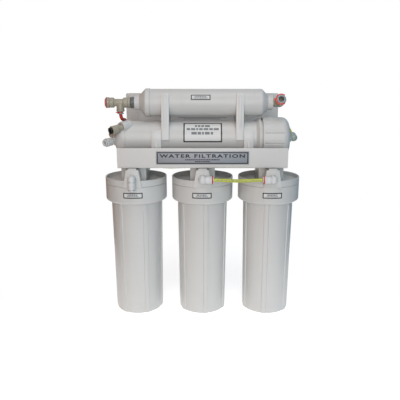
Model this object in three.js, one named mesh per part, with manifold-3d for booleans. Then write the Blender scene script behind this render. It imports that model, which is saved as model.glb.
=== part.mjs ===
// Five-stage reverse osmosis unit: three screw-on filter housings hang from a bent steel bracket that
// carries a membrane housing and an inline filter. Millimetres, +Z up, front towards -Y.
// The origin is the centre of the middle sump's base.
import * as THREE from 'three';
import { mergeVertices } from 'three/addons/utils/BufferGeometryUtils.js';
import Module from 'manifold-3d';

const wasm = await Module();
wasm.setup();

// ---- Clearances ----
const touchGap = 0.3;
const slideFit = 0.6;
const threadFit = 1;
const pipeFit = 0.4;
const socketFit = 0.5;

// ---- Filter housings ----
const housingRadius = 60;
const housingGap = 11;
const sumpHeight = 263.6;
const seamGap = 0.4;
const headRingHeight = 12.5;
const rimWall = 2.5;
const deckThickness = 4;
const bellHeight = 29.6;
const bellWall = 5.5;
const bellTaperHeight = 6;
const bellOverhang = 11;
const taperFoot = 2;
const sumpWall = 3.8;
const sumpDraft = 2.5;
const sumpFloor = 4.5;
const sumpChamfer = 2.5;
const ribCount = 6;
const ribWidth = 9;
const ribProud = 1.4;
const ribRoot = 1.2;
const ribTurns = [25.5, 8, -9.5];
const skirtLength = 26;
const skirtWall = 3.5;
const ringSection = 1.7;
const waterGap = 10.7;
const cartridgeBore = 13;
const cartridgeHeadspace = 11;
const cartridgeCapHeight = 6;
const cartridgeCapLip = 1;
const spigotWall = 4;
const spigotOverlap = 4;
const floorBossHeight = 4;

// ---- Head ports ----
const towerWidth = 47;
const towerDepth = 70;
const portBlockProud = 1;
const portBlockTop = 23;
const portBlockBottom = 35;
const portBlockRise = 20.6;
const portRise = 4.5;
const portBossRadius = 10;
const portBossProud = 1;
const portDepth = 14;
const passageRadius = 4;

// ---- Bracket ----
const bracketLength = 315;
const sheet = 2;
const bendRadius = 5;
const shelfStandoff = 24;
const lipHeight = 38;
const lipProud = 2;
const wallStandoff = 20;
const backPlateHeight = 132.4;
const backCornerRadius = 4;
const keyholeSpacing = 240;
const keyholeDrop = 30;
const keyholeRadius = 5.5;
const keySlotRadius = 2.6;
const keySlotRise = 10;
const nameplateLength = 171;
const nameplateHeight = 24;
const nameplateThickness = 0.8;

// ---- Membrane housing ----
const membraneRadius = 32;
const membraneWall = 3;
const membraneY = -15;
const membraneLift = 17.6;
const membraneLeftX = -165;
const membraneSeamX = -145;
const membraneDomeRise = 2;
const membraneEndRadius = 17;
const collarX = 109.5;
const collarStep = 4;
const collarTaper = 9;
const collarBand = 3;
const neckStep = 2;
const neckLength = 31;
const capGap = 3;
const capWall = 4.2;
const capEndWall = 6;
const capInnerTaper = 13;
const capCorner = 15;
const capHubRadius = 9;
const capHubLength = 2.5;
const capGrooves = 12;
const capGrooveRadius = 1.6;
const cavityEnd = 17;
const cavityTaper = 20;
const cavityEndRadius = 12;
const drainDirection = new THREE.Vector3(-0.74, -0.64, -0.2).normalize();
const flushDirection = new THREE.Vector3(-0.64, -0.76, -0.09).normalize();
const sidePortRadius = 10;
const sidePortLength = 18;
const sidePortDepth = 30;
const drainPortInset = 15;
const drainPortProud = 1.24;
const drainPortTurn = 138.78;
const flushPortProud = 0.5;
const flushPortRim = 4.32;
const flushPortTurn = 198.86;
const permeatePortY = 8;
const permeatePortZ = 5.5;
const elementGap = 5;
const elementInset = 6;
const elementHeadspace = 25;
const elementStem = 8.5;
const elementBore = 4;
const elementStemLength = 16;
const sealLength = 6;
const sealInset = 4;
const sealTaper = 2;
const sealFit = 0.4;
const capGrooveSink = 0.6;

// ---- Inline filter ----
const filterRadius = 25.4;
const filterWall = 3.5;
const filterY = -13;
const pipeGap = 8.5;
const filterSeamX = -98.3;
const filterConeX = 111.5;
const filterConeLength = 11;
const filterCapBand = 9.1;
const filterCapProud = 1.1;
const filterCapWall = 2.3;
const filterNeckLength = 6;
const nubRadius = 13.5;
const nubLength = 9.5;

// ---- Pipe clips ----
const clipWall = 3.2;
const doubleClipX = 69;
const doubleClipWidth = 14;
const doubleClipTop = 18.6;
const doubleClipBottom = -3;
const doubleClipRibWidth = 6;
const doubleClipRibProud = 2;
const doubleClipWeb = 18;
const singleClipWidth = 18.4;
const singleClipTop = 17.7;
const clipFootDepth = 40;
const clipFootHeight = 3;
const clipPostDepth = 28;

// ---- Push fittings ----
const colletWall = 1.2;
const colletDepth = 8;
const colletTravel = 2;
const tubeStop = 2.4;
const lockGap = 2.4;
const flangeThickness = 1.5;
const flangeProud = 1.5;
const lockClipThickness = 1.8;
const lockClipTab = 3;
const lockClipTabWidth = 5;
const flowRadius = 2.4;
const shankRadius = 6;
const shankLength = 8;
const hexRadius = 7.6;
const hexHeight = 4;
const frontElbow = { tube: 3.175, socket: 7.25, ball: 7, seat: 10.5, arm: 17, clipWall: 2.6 };
const smallElbow = { tube: 3.175, socket: 7.25, ball: 7, seat: 8.7, arm: 17 };
const outletElbow = { tube: 4.76, socket: 9.6, ball: 9, seat: 13, arm: 22, clipWall: 3.8 };
const straightFitting = { tube: 3.175, socket: 8, length: 22, neck: 6, neckLength: 9 };
const feedOutlet = new THREE.Vector3(0, 0.99, 0.139).normalize();
const outletDirection = new THREE.Vector3(0, -0.95, 0.31).normalize();
const teeLeft = { tube: 4.76, socket: 10, clipWall: 3.4 };
const teeBranch = { tube: 3.175, socket: 7.8, clipWall: 1.4 };
const teeLeftArm = 24.4;
const teeLeftShoulder = 11.1;
const teeRightArm = 19.4;
const teeRightShoulder = 5.4;
const teeBranchArm = 17;
const teeCoreRadius = 7;
const stemRadius = 4.7;
const stemLength = 10;
const adapterRadius = 10.4;
const adapterLength = 7.3;

// ---- Tube routes, set by hand as steps from the fitting at each end ----
const tubeRadius = 3.175;
const tubeSides = 8;
const tubeSeat = 7.5;
const tubeSag = 1.5;
const tubeStraight = 26;
const feedTubeStart = [
  [0, 7.5, 1.06], [0, 21.3, 3], [-0.6, 29, 6.2], [-1.9, 37, 11], [-3.7, 47, 14.9], [-4.4, 57, 13],
  [-2.7, 69, 4.5], [0.8, 79, -9.5], [3.3, 84, -24], [3.3, 86.5, -37],
];
const feedTubeAround = [[17.5, -0.5, 24.5], [11.5, 0, 13]];
const feedTubeEnd = [[30.5, 0, 4.5], [22, 0, 0.5], [15, 0, 0], [5.5, 0, 0]];
const permeateTubeStart = [[0, 0, -7.5], [0, 0, -22], [0.8, 2, -28], [2.4, 9, -32.2], [4, 22, -33.5]];
const permeateTubeEnd = [
  [21.7, 31, 20.4], [13.7, 44, 11.4], [4.7, 47, 3.9], [0, 38, 0.2], [0, 23, 0], [0, 7.5, 0],
];

// ---- Sizes worked out from those above ----
const elementRadius = membraneRadius - membraneWall - elementGap;
const housingSpacing = 2 * housingRadius + housingGap;
const headBottom = sumpHeight + seamGap;
const rimTop = headBottom + headRingHeight;
const deckTop = headBottom + deckThickness;
const skirtRadius = housingRadius - bellWall - threadFit;
const skirtInner = skirtRadius - skirtWall;
const skirtBottom = headBottom - skirtLength;
const shoulderZ = skirtBottom - 2 * ringSection - 2 * touchGap;
const sumpTopRadius = housingRadius - bellOverhang;
const sumpBaseRadius = sumpTopRadius - sumpDraft;
const cartridgeRadius = sumpBaseRadius - sumpWall - waterGap;
const cartridgeBottom = sumpFloor + touchGap;
const cartridgeTop = headBottom - cartridgeHeadspace;
const spigotRadius = cartridgeBore - slideFit;
const shelfZ = rimTop + shelfStandoff;
const shelfTop = shelfZ + sheet;
const lipY = -(housingRadius + lipProud);
const wallY = housingRadius + wallStandoff;
const portZ = rimTop + portRise;
const portFaceY = housingRadius + portBlockProud + portBossProud;
const portHoleRadius = shankRadius + pipeFit;
const membraneZ = shelfTop + membraneLift + membraneRadius;
const filterZ = membraneZ + membraneRadius + pipeGap + filterRadius;
const neckRadius = membraneRadius + neckStep;
const collarRadius = neckRadius + collarStep;
const neckEndX = collarX + neckLength;
const capStartX = collarX + capGap;
const capInnerX = neckEndX + 2 * ringSection + 2 * touchGap;
const capEndX = capInnerX + capInnerTaper + capEndWall;
const capHubX = capEndX + capHubLength;
const capRadius = neckRadius + slideFit + capWall;
const singleClipX = doubleClipX + (doubleClipWidth + singleClipWidth) / 2 + touchGap;
const filterNubLeft = filterSeamX - filterCapBand - filterConeLength - nubLength;
const filterNubRight = filterConeX + filterConeLength + nubLength;
const teeX = filterNubLeft - touchGap - adapterLength - touchGap - teeRightArm;
const ballY = portFaceY + frontElbow.seat;
const drainPort = roundAxis(membraneLeftX + drainPortInset, membraneRadius + drainPortProud, drainPortTurn);
const flushPortReach = membraneEndRadius - flushPortRim;
const flushPort = roundAxis(membraneLeftX - flushPortProud, flushPortReach, flushPortTurn);

const large = 24;
const small = 10;
const fine = 8;
const curveSteps = 3;
const weld = 1e-3;
const unitX = new THREE.Vector3(1, 0, 0);
const unitY = new THREE.Vector3(0, 1, 0);
const unitZ = new THREE.Vector3(0, 0, 1);
const alongX = new THREE.Matrix4().makeBasis(unitY, unitZ, unitX);

const group = new THREE.Group();
const materials = {
  housing: { color: 0xe4e4e0, roughness: 0.5, metalness: 0 },
  steel: { color: 0xe6e6e4, roughness: 0.55, metalness: 0.1 },
  plate: { color: 0xa4a6aa, roughness: 0.4, metalness: 0.7 },
  rubber: { color: 0x1c1c1c, roughness: 0.8, metalness: 0 },
  sediment: { color: 0xf0efe8, roughness: 0.95, metalness: 0 },
  carbon: { color: 0x262626, roughness: 0.9, metalness: 0 },
  element: { color: 0x2b56a0, roughness: 0.5, metalness: 0 },
  beige: { color: 0x969282, roughness: 0.45, metalness: 0 },
  dark: { color: 0x5a5f5f, roughness: 0.5, metalness: 0 },
  grey: { color: 0x8d979c, roughness: 0.4, metalness: 0 },
  black: { color: 0x1e1f20, roughness: 0.5, metalness: 0 },
  red: { color: 0xc83223, roughness: 0.4, metalness: 0 },
  yellow: { color: 0xbebe1e, roughness: 0.35, metalness: 0 },
};

// A point at a distance and an angle round the X axis.
function roundAxis(x, radius, degrees) {
  const angle = THREE.MathUtils.degToRad(degrees);
  return new THREE.Vector3(x, radius * Math.cos(angle), radius * Math.sin(angle));
}

// ---- Solids ----
function signedVolume(position, index) {
  const a = new THREE.Vector3();
  const b = new THREE.Vector3();
  const c = new THREE.Vector3();
  let volume = 0;
  for (let i = 0; i < index.length; i += 3) {
    a.fromArray(position, 3 * index[i]);
    b.fromArray(position, 3 * index[i + 1]);
    c.fromArray(position, 3 * index[i + 2]);
    volume += a.dot(b.cross(c)) / 6;
  }
  return volume;
}

// Welds a closed surface, drops its collapsed triangles and turns its faces outward.
function solidOf(geometry) {
  const bare = geometry.clone();
  bare.deleteAttribute('normal');
  bare.deleteAttribute('uv');
  const welded = mergeVertices(bare, weld);
  const vertProperties = new Float32Array(welded.getAttribute('position').array);
  const source = welded.getIndex().array;
  const kept = [];
  for (let i = 0; i < source.length; i += 3) {
    const [a, b, c] = source.slice(i, i + 3);
    if (a !== b && b !== c && c !== a) kept.push(a, b, c);
  }
  if (signedVolume(vertProperties, kept) < 0) kept.reverse();
  const triVerts = new Uint32Array(kept);
  return new wasm.Manifold(new wasm.Mesh({ numProp: 3, vertProperties, triVerts }));
}

function geometryOf(solid) {
  const mesh = solid.getMesh();
  const geometry = new THREE.BufferGeometry();
  geometry.setAttribute('position', new THREE.BufferAttribute(mesh.vertProperties, 3));
  geometry.setIndex(new THREE.BufferAttribute(mesh.triVerts, 1));
  geometry.computeVertexNormals();
  return geometry;
}

function join(solids) {
  return solids.reduce((whole, next) => whole.add(next));
}

function cut(solid, tools) {
  return tools.reduce((left, tool) => left.subtract(tool), solid);
}

// A round bar between two points.
function rod(radius, from, to, sides = small) {
  const start = new THREE.Vector3(...from);
  const end = new THREE.Vector3(...to);
  const direction = end.clone().sub(start);
  const geometry = new THREE.CylinderGeometry(radius, radius, direction.length(), sides);
  geometry.applyQuaternion(new THREE.Quaternion().setFromUnitVectors(unitY, direction.normalize()));
  const middle = start.add(end).multiplyScalar(0.5);
  geometry.translate(middle.x, middle.y, middle.z);
  return solidOf(geometry);
}

function block(low, high) {
  const size = high.map((value, i) => value - low[i]);
  const geometry = new THREE.BoxGeometry(...size);
  geometry.translate(...high.map((value, i) => (value + low[i]) / 2));
  return solidOf(geometry);
}

// An outline of radius and height, turned about the Z axis.
function turned(outline, sides = large) {
  const geometry = new THREE.LatheGeometry(outline.getPoints(curveSteps), sides);
  geometry.rotateX(Math.PI / 2);
  return solidOf(geometry);
}

function ringTurned(corners, sides = large) {
  const points = corners.map(([radius, height]) => new THREE.Vector2(radius, height));
  points.push(points[0].clone());
  const geometry = new THREE.LatheGeometry(points, sides);
  geometry.rotateX(Math.PI / 2);
  return solidOf(geometry);
}

function outlineFrom(corners) {
  const outline = new THREE.Path();
  outline.moveTo(...corners[0]);
  corners.slice(1).forEach((corner) => outline.lineTo(...corner));
  return outline;
}

function turnedAlongX(solid) {
  const geometry = geometryOf(solid);
  geometry.applyMatrix4(alongX);
  return solidOf(geometry);
}

// ---- Placing ----
function addPiece(name, solid, materialName, position = [0, 0, 0]) {
  const mesh = new THREE.Mesh(geometryOf(solid), new THREE.MeshStandardMaterial(materials[materialName]));
  mesh.name = name;
  mesh.position.set(...position);
  group.add(mesh);
  return mesh;
}

// Turns a piece so that its own Z points outward and its own X points sideways.
function aim(mesh, outward, sideways) {
  const third = outward.clone().cross(sideways);
  mesh.quaternion.setFromRotationMatrix(new THREE.Matrix4().makeBasis(sideways, third, outward));
  return mesh;
}

function shifted(start, direction, distance) {
  return start.clone().addScaledVector(direction, distance);
}

// ---- Filter housings ----
function sumpOutline() {
  const bellBottom = sumpHeight - bellHeight;
  const taperBottom = bellBottom - bellTaperHeight;
  const bellInner = skirtRadius + threadFit;
  const bossTop = sumpFloor + floorBossHeight;
  const outline = new THREE.Path();
  outline.moveTo(0, 0);
  outline.lineTo(sumpBaseRadius - sumpChamfer, 0);
  outline.lineTo(sumpBaseRadius, sumpChamfer);
  outline.lineTo(sumpTopRadius, taperBottom);
  outline.lineTo(sumpTopRadius + taperFoot, taperBottom);
  outline.quadraticCurveTo(housingRadius, bellBottom - bellTaperHeight / 2, housingRadius, bellBottom);
  outline.lineTo(housingRadius, sumpHeight);
  outline.lineTo(bellInner, sumpHeight);
  outline.lineTo(bellInner, shoulderZ);
  outline.lineTo(sumpTopRadius - sumpWall, shoulderZ);
  outline.lineTo(sumpBaseRadius - sumpWall, sumpFloor);
  outline.lineTo(spigotRadius, sumpFloor);
  outline.lineTo(spigotRadius, bossTop);
  outline.lineTo(0, bossTop);
  return outline;
}

function sumpRib(degreesFromFront) {
  const top = sumpHeight - bellHeight - bellTaperHeight + 1;
  const shape = new THREE.Shape();
  shape.moveTo(sumpBaseRadius - ribRoot, sumpChamfer);
  shape.lineTo(sumpBaseRadius + ribProud - 1, sumpChamfer);
  shape.lineTo(sumpBaseRadius + ribProud, sumpChamfer + 1);
  shape.lineTo(sumpTopRadius + ribProud, top);
  shape.lineTo(sumpTopRadius - ribRoot, top);
  const geometry = new THREE.ExtrudeGeometry(shape, { depth: ribWidth, bevelEnabled: false });
  geometry.translate(0, 0, -ribWidth / 2);
  geometry.rotateX(Math.PI / 2);
  geometry.rotateZ(THREE.MathUtils.degToRad(degreesFromFront - 90));
  return solidOf(geometry);
}

function addSump(number, x) {
  const ribs = [];
  for (let i = 0; i < ribCount; i += 1) {
    ribs.push(sumpRib(ribTurns[number - 1] + (i * 360) / ribCount));
  }
  addPiece(`sump_${number}`, join([turned(sumpOutline()), ...ribs]), 'housing', [x, 0, 0]);
}

// A round rubber ring lying in its own XY plane.
function rubberRing(radius) {
  const geometry = new THREE.TorusGeometry(radius, ringSection, 5, large);
  return solidOf(geometry);
}

function addSumpRing(number, x) {
  const height = shoulderZ + touchGap + ringSection;
  addPiece(`sump_oring_${number}`, rubberRing(skirtRadius - skirtWall / 2), 'rubber', [x, 0, height]);
}

function addCartridge(number, x, materialName) {
  const lip = cartridgeRadius + cartridgeCapLip;
  const core = ringTurned([
    [cartridgeBore, cartridgeBottom],
    [lip, cartridgeBottom],
    [lip, cartridgeBottom + cartridgeCapHeight],
    [cartridgeRadius, cartridgeBottom + cartridgeCapHeight],
    [cartridgeRadius, cartridgeTop - cartridgeCapHeight],
    [lip, cartridgeTop - cartridgeCapHeight],
    [lip, cartridgeTop],
    [cartridgeBore, cartridgeTop],
  ], 20);
  addPiece(`cartridge_${number}`, core, materialName, [x, 0, 0]);
}

function headShell() {
  const spigotBottom = cartridgeTop - spigotOverlap;
  return turned(outlineFrom([
    [0, spigotBottom],
    [spigotRadius, spigotBottom],
    [spigotRadius, headBottom],
    [skirtInner, headBottom],
    [skirtInner, skirtBottom],
    [skirtRadius, skirtBottom],
    [skirtRadius, headBottom],
    [housingRadius, headBottom],
    [housingRadius, rimTop],
    [housingRadius - rimWall, rimTop],
    [housingRadius - rimWall, deckTop],
    [0, deckTop],
  ]));
}

// The bar that carries both ports, wider at its foot.
function portBlock() {
  const reach = housingRadius + portBlockProud;
  const top = rimTop + portBlockRise;
  const shape = new THREE.Shape();
  shape.moveTo(-portBlockBottom / 2, headBottom);
  shape.lineTo(portBlockBottom / 2, headBottom);
  shape.lineTo(portBlockTop / 2, top);
  shape.lineTo(-portBlockTop / 2, top);
  const geometry = new THREE.ExtrudeGeometry(shape, { depth: 2 * reach, bevelEnabled: false });
  geometry.rotateX(Math.PI / 2);
  geometry.translate(0, reach, 0);
  return solidOf(geometry);
}

function headPassages() {
  const dropY = -(cartridgeRadius + waterGap / 2);
  const holeEnd = portFaceY - portDepth;
  return [
    rod(portHoleRadius, [0, -portFaceY - 1, portZ], [0, -holeEnd, portZ]),
    rod(portHoleRadius, [0, holeEnd, portZ], [0, portFaceY + 1, portZ]),
    rod(passageRadius, [0, -holeEnd - 1, portZ], [0, dropY, portZ], fine),
    rod(passageRadius, [0, dropY, portZ + 1], [0, dropY, headBottom - 1], fine),
    rod(passageRadius, [0, 0, portZ], [0, holeEnd + 1, portZ], fine),
    rod(passageRadius, [0, 0, portZ + 1], [0, 0, cartridgeTop - spigotOverlap - 1], fine),
    rod(spigotRadius - spigotWall, [0, 0, headBottom - 1], [0, 0, cartridgeTop - spigotOverlap - 1]),
  ];
}

function addHead(number, x) {
  const tower = block(
    [-towerWidth / 2, -towerDepth / 2, headBottom + 1],
    [towerWidth / 2, towerDepth / 2, shelfZ - touchGap],
  );
  const bosses = rod(portBossRadius, [0, -portFaceY, portZ], [0, portFaceY, portZ], 16);
  const body = join([headShell(), tower, portBlock(), bosses]);
  addPiece(`head_${number}`, cut(body, headPassages()), 'housing', [x, 0, 0]);
}

// ---- Bracket ----
function bracketProfile() {
  const bendZ = shelfZ + bendRadius;
  const inner = bendRadius - sheet;
  const shape = new THREE.Shape();
  shape.moveTo(lipY, shelfZ + lipHeight);
  shape.lineTo(lipY, bendZ);
  shape.absarc(lipY + bendRadius, bendZ, bendRadius, Math.PI, 1.5 * Math.PI, false);
  shape.lineTo(wallY - bendRadius, shelfZ);
  shape.absarc(wallY - bendRadius, bendZ, bendRadius, 1.5 * Math.PI, 2 * Math.PI, false);
  shape.lineTo(wallY, shelfZ + backPlateHeight);
  shape.lineTo(wallY - sheet, shelfZ + backPlateHeight);
  shape.lineTo(wallY - sheet, bendZ);
  shape.absarc(wallY - bendRadius, bendZ, inner, 2 * Math.PI, 1.5 * Math.PI, true);
  shape.lineTo(lipY + bendRadius, shelfTop);
  shape.absarc(lipY + bendRadius, bendZ, inner, 1.5 * Math.PI, Math.PI, true);
  shape.lineTo(lipY + sheet, shelfZ + lipHeight);
  return shape;
}

function cornerCut(side) {
  const top = shelfZ + backPlateHeight;
  const end = (side * bracketLength) / 2;
  const centre = end - side * backCornerRadius;
  const front = wallY - sheet - 1;
  const xs = [centre, end + side].sort((a, b) => a - b);
  const middle = top - backCornerRadius;
  const square = block([xs[0], front, middle], [xs[1], wallY + 1, top + 1]);
  const round = rod(backCornerRadius, [centre, front - 1, middle], [centre, wallY + 2, middle], large);
  return square.subtract(round);
}

function keyhole(side) {
  const x = (side * keyholeSpacing) / 2;
  const z = shelfZ + backPlateHeight - keyholeDrop;
  const front = wallY - sheet - 1;
  const back = wallY + 1;
  return join([
    rod(keyholeRadius, [x, front, z], [x, back, z]),
    block([x - keySlotRadius, front, z], [x + keySlotRadius, back, z + keySlotRise]),
    rod(keySlotRadius, [x, front, z + keySlotRise], [x, back, z + keySlotRise]),
  ]);
}

function addBracket() {
  const geometry = new THREE.ExtrudeGeometry(bracketProfile(), {
    depth: bracketLength,
    bevelEnabled: false,
    curveSegments: 4,
  });
  geometry.applyMatrix4(alongX);
  geometry.translate(-bracketLength / 2, 0, 0);
  const cuts = [cornerCut(-1), cornerCut(1), keyhole(-1), keyhole(1)];
  addPiece('bracket', cut(solidOf(geometry), cuts), 'steel');
}

function addNameplate() {
  const face = lipY - touchGap;
  const middle = shelfZ + lipHeight / 2 + 1;
  const plate = block(
    [-nameplateLength / 2, face - nameplateThickness, middle - nameplateHeight / 2],
    [nameplateLength / 2, face, middle + nameplateHeight / 2],
  );
  addPiece('nameplate', plate, 'plate');
}

// ---- Membrane housing: outlines are radius against X ----
function membraneShell() {
  const outline = new THREE.Path();
  outline.moveTo(0, membraneLeftX);
  outline.lineTo(membraneEndRadius, membraneLeftX);
  outline.quadraticCurveTo(membraneRadius, membraneLeftX + membraneDomeRise, membraneRadius, membraneSeamX);
  outline.lineTo(membraneRadius, collarX - collarTaper);
  outline.lineTo(collarRadius, collarX - collarBand);
  outline.lineTo(collarRadius, collarX);
  outline.lineTo(neckRadius, collarX);
  outline.lineTo(neckRadius, neckEndX);
  outline.lineTo(0, neckEndX);
  return turnedAlongX(turned(outline));
}

function membraneCavity() {
  const start = membraneLeftX + cavityEnd;
  const bore = membraneRadius - membraneWall;
  return turnedAlongX(turned(outlineFrom([
    [0, start],
    [cavityEndRadius, start],
    [bore, start + cavityTaper],
    [bore, neckEndX + 1],
    [0, neckEndX + 1],
  ])));
}

function sidePortBoss(face, direction) {
  return rod(sidePortRadius, face.toArray(), shifted(face, direction, -sidePortLength).toArray(), 16);
}

// Room in front of a port's face for the fitting that screws into it.
function spotFace(face, direction) {
  const outside = shifted(face, direction, straightFitting.length).toArray();
  return rod(sidePortRadius, face.toArray(), outside, 16);
}

function sidePortHoles(face, direction) {
  const outside = shifted(face, direction, 1).toArray();
  const seat = shifted(face, direction, -shankLength - 1).toArray();
  const inside = shifted(face, direction, -sidePortDepth).toArray();
  return [rod(shankRadius - 1 + pipeFit, outside, seat), rod(flowRadius, outside, inside, fine)];
}

function addMembraneHousing() {
  const port = [permeatePortY, permeatePortZ];
  const sidePorts = [[drainPort, drainDirection], [flushPort, flushDirection]];
  const dome = cut(membraneShell(), sidePorts.map((sidePort) => spotFace(...sidePort)));
  const shell = join([dome, ...sidePorts.map((sidePort) => sidePortBoss(...sidePort))]);
  const cuts = [
    membraneCavity(),
    ...sidePorts.flatMap((sidePort) => sidePortHoles(...sidePort)),
    rod(portHoleRadius, [membraneLeftX - 1, ...port], [membraneLeftX + shankLength + 1, ...port]),
    rod(flowRadius, [membraneLeftX, ...port], [membraneLeftX + cavityEnd + 1, ...port], fine),
  ];
  addPiece('membrane_housing', cut(shell, cuts), 'housing', [0, membraneY, membraneZ]);
}

function addMembraneCap() {
  const bore = neckRadius + slideFit;
  const outline = new THREE.Path();
  outline.moveTo(0, capStartX);
  outline.lineTo(capRadius, capStartX);
  outline.lineTo(capRadius, capEndX - capCorner);
  outline.quadraticCurveTo(capRadius, capEndX, capRadius - capCorner, capEndX);
  outline.lineTo(capHubRadius, capEndX);
  outline.lineTo(capHubRadius, capHubX);
  outline.lineTo(0, capHubX);
  const cavity = turned(outlineFrom([
    [0, capStartX - 1],
    [bore, capStartX - 1],
    [bore, capInnerX],
    [bore - capInnerTaper / 2, capInnerX],
    [bore - capInnerTaper, capInnerX + capInnerTaper],
    [0, capInnerX + capInnerTaper],
  ]));
  const grooves = [];
  for (let i = 0; i < capGrooves; i += 1) {
    const angle = ((i + 0.5) * 2 * Math.PI) / capGrooves;
    const reach = capRadius + capGrooveSink;
    const place = [reach * Math.cos(angle), reach * Math.sin(angle)];
    grooves.push(rod(capGrooveRadius, [...place, capStartX - 1], [...place, capEndX - capCorner + 3], 6));
  }
  const hole = rod(portHoleRadius, [0, 0, capInnerX], [0, 0, capHubX + 1]);
  const cap = turnedAlongX(cut(turned(outline), [cavity, hole, ...grooves]));
  addPiece('membrane_cap', cap, 'housing', [0, membraneY, membraneZ]);
  const ring = turnedAlongX(rubberRing((neckRadius + membraneRadius - membraneWall) / 2));
  const ringX = neckEndX + touchGap + ringSection;
  addPiece('membrane_cap_oring', ring, 'rubber', [ringX, membraneY, membraneZ]);
}

function addMembraneElement() {
  const left = membraneLeftX + cavityEnd + cavityTaper + elementInset;
  const right = neckEndX - elementHeadspace;
  const element = ringTurned([
    [elementBore, left - elementStemLength],
    [elementStem, left - elementStemLength],
    [elementStem, left],
    [elementRadius, left],
    [elementRadius, right],
    [elementStem, right],
    [elementStem, right + elementStemLength],
    [elementBore, right + elementStemLength],
  ], 20);
  addPiece('membrane_element', turnedAlongX(element), 'element', [0, membraneY, membraneZ]);
  const sealOuter = membraneRadius - membraneWall - sealFit;
  const seal = ringTurned([
    [elementRadius + touchGap, right - sealLength - sealInset],
    [sealOuter, right - sealLength - sealInset + sealTaper],
    [sealOuter, right - sealInset],
    [elementRadius + touchGap, right - sealInset],
  ]);
  addPiece('brine_seal', turnedAlongX(seal), 'rubber', [0, membraneY, membraneZ]);
}

// ---- Inline filter: outlines are radius against X ----
function filterEndHoles(nubEnd, inward) {
  return [
    rod(portHoleRadius, [nubEnd - inward, 0, 0], [nubEnd + inward * (shankLength + 1), 0, 0]),
    rod(flowRadius, [nubEnd, 0, 0], [nubEnd + inward * (nubLength + filterConeLength), 0, 0], fine),
  ];
}

function addFilterBody() {
  const coneEnd = filterConeX + filterConeLength;
  const neck = filterRadius + filterCapProud - filterCapWall - touchGap;
  const bore = filterRadius - filterWall;
  const seam = filterSeamX + touchGap;
  const body = turnedAlongX(turned(outlineFrom([
    [0, seam - filterNeckLength],
    [neck, seam - filterNeckLength],
    [neck, seam],
    [filterRadius, seam],
    [filterRadius, filterConeX],
    [nubRadius, coneEnd],
    [nubRadius, filterNubRight],
    [0, filterNubRight],
  ])));
  const cavity = turnedAlongX(turned(outlineFrom([
    [0, seam - filterNeckLength - 1],
    [bore, seam - filterNeckLength - 1],
    [bore, filterConeX - filterWall],
    [nubRadius - filterWall, coneEnd - filterWall - 2],
    [0, coneEnd - filterWall - 2],
  ])));
  const cuts = [cavity, ...filterEndHoles(filterNubRight, -1)];
  addPiece('inline_filter_body', cut(body, cuts), 'housing', [0, filterY, filterZ]);
}

function addFilterEndCap() {
  const bandX = filterSeamX - filterCapBand;
  const coneEnd = bandX - filterConeLength;
  const band = filterRadius + filterCapProud;
  const bore = band - filterCapWall;
  const cavityX = filterSeamX - filterNeckLength - touchGap;
  const cap = turnedAlongX(turned(outlineFrom([
    [0, filterNubLeft],
    [nubRadius, filterNubLeft],
    [nubRadius, coneEnd],
    [filterRadius, bandX],
    [band, bandX],
    [band, filterSeamX],
    [0, filterSeamX],
  ])));
  const cavity = turnedAlongX(turned(outlineFrom([
    [0, coneEnd + filterWall + 2],
    [nubRadius - filterWall, coneEnd + filterWall + 2],
    [bore - 2, cavityX - 1],
    [bore, cavityX],
    [bore, filterSeamX + 1],
    [0, filterSeamX + 1],
  ])));
  const cuts = [cavity, ...filterEndHoles(filterNubLeft, 1)];
  addPiece('inline_filter_end_cap', cut(cap, cuts), 'housing', [0, filterY, filterZ]);
}

function addFilterMedia() {
  const radius = filterRadius - filterWall - slideFit;
  const start = filterSeamX - filterNeckLength + 2;
  const end = filterConeX - filterWall - 2;
  const media = rod(radius, [start, 0, 0], [end, 0, 0], 20);
  addPiece('inline_filter_media', media, 'carbon', [0, filterY, filterZ]);
}

// ---- Pipe clips: each is made about X = 0 and moved to its place ----
function pipe(y, z, radius, width) {
  return rod(radius, [-width / 2, y, z], [width / 2, y, z], large);
}

function slab(width, zLow, zHigh) {
  return block([-width / 2 - 1, lipY, zLow], [width / 2 + 1, wallY, zHigh]);
}

function doubleClip() {
  const width = doubleClipWidth;
  const filterPipe = filterRadius + pipeFit;
  const membranePipe = membraneRadius + pipeFit;
  const ribOut = clipWall + doubleClipRibProud;
  const middleY = (filterY + membraneY) / 2;
  const web = block(
    [-width / 2, middleY - doubleClipWeb / 2, membraneZ + membraneRadius],
    [width / 2, middleY + doubleClipWeb / 2, filterZ - filterRadius],
  );
  const front = block(
    [-doubleClipRibWidth / 2, lipY, membraneZ + membraneRadius / 2],
    [doubleClipRibWidth / 2, middleY - doubleClipWeb / 2, filterZ + filterRadius / 2],
  );
  const rib = join([
    pipe(filterY, filterZ, filterPipe + ribOut, doubleClipRibWidth),
    pipe(membraneY, membraneZ, membranePipe + ribOut, doubleClipRibWidth),
  ]).intersect(front);
  const bands = join([
    pipe(filterY, filterZ, filterPipe + clipWall, width),
    pipe(membraneY, membraneZ, membranePipe + clipWall, width),
    web,
    rib,
  ]);
  return cut(bands, [
    pipe(filterY, filterZ, filterPipe, width + 2),
    pipe(membraneY, membraneZ, membranePipe, width + 2),
    slab(width, filterZ + doubleClipTop, filterZ + 2 * filterRadius),
    slab(width, membraneZ - 2 * membraneRadius, membraneZ + doubleClipBottom),
  ]);
}

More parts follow.
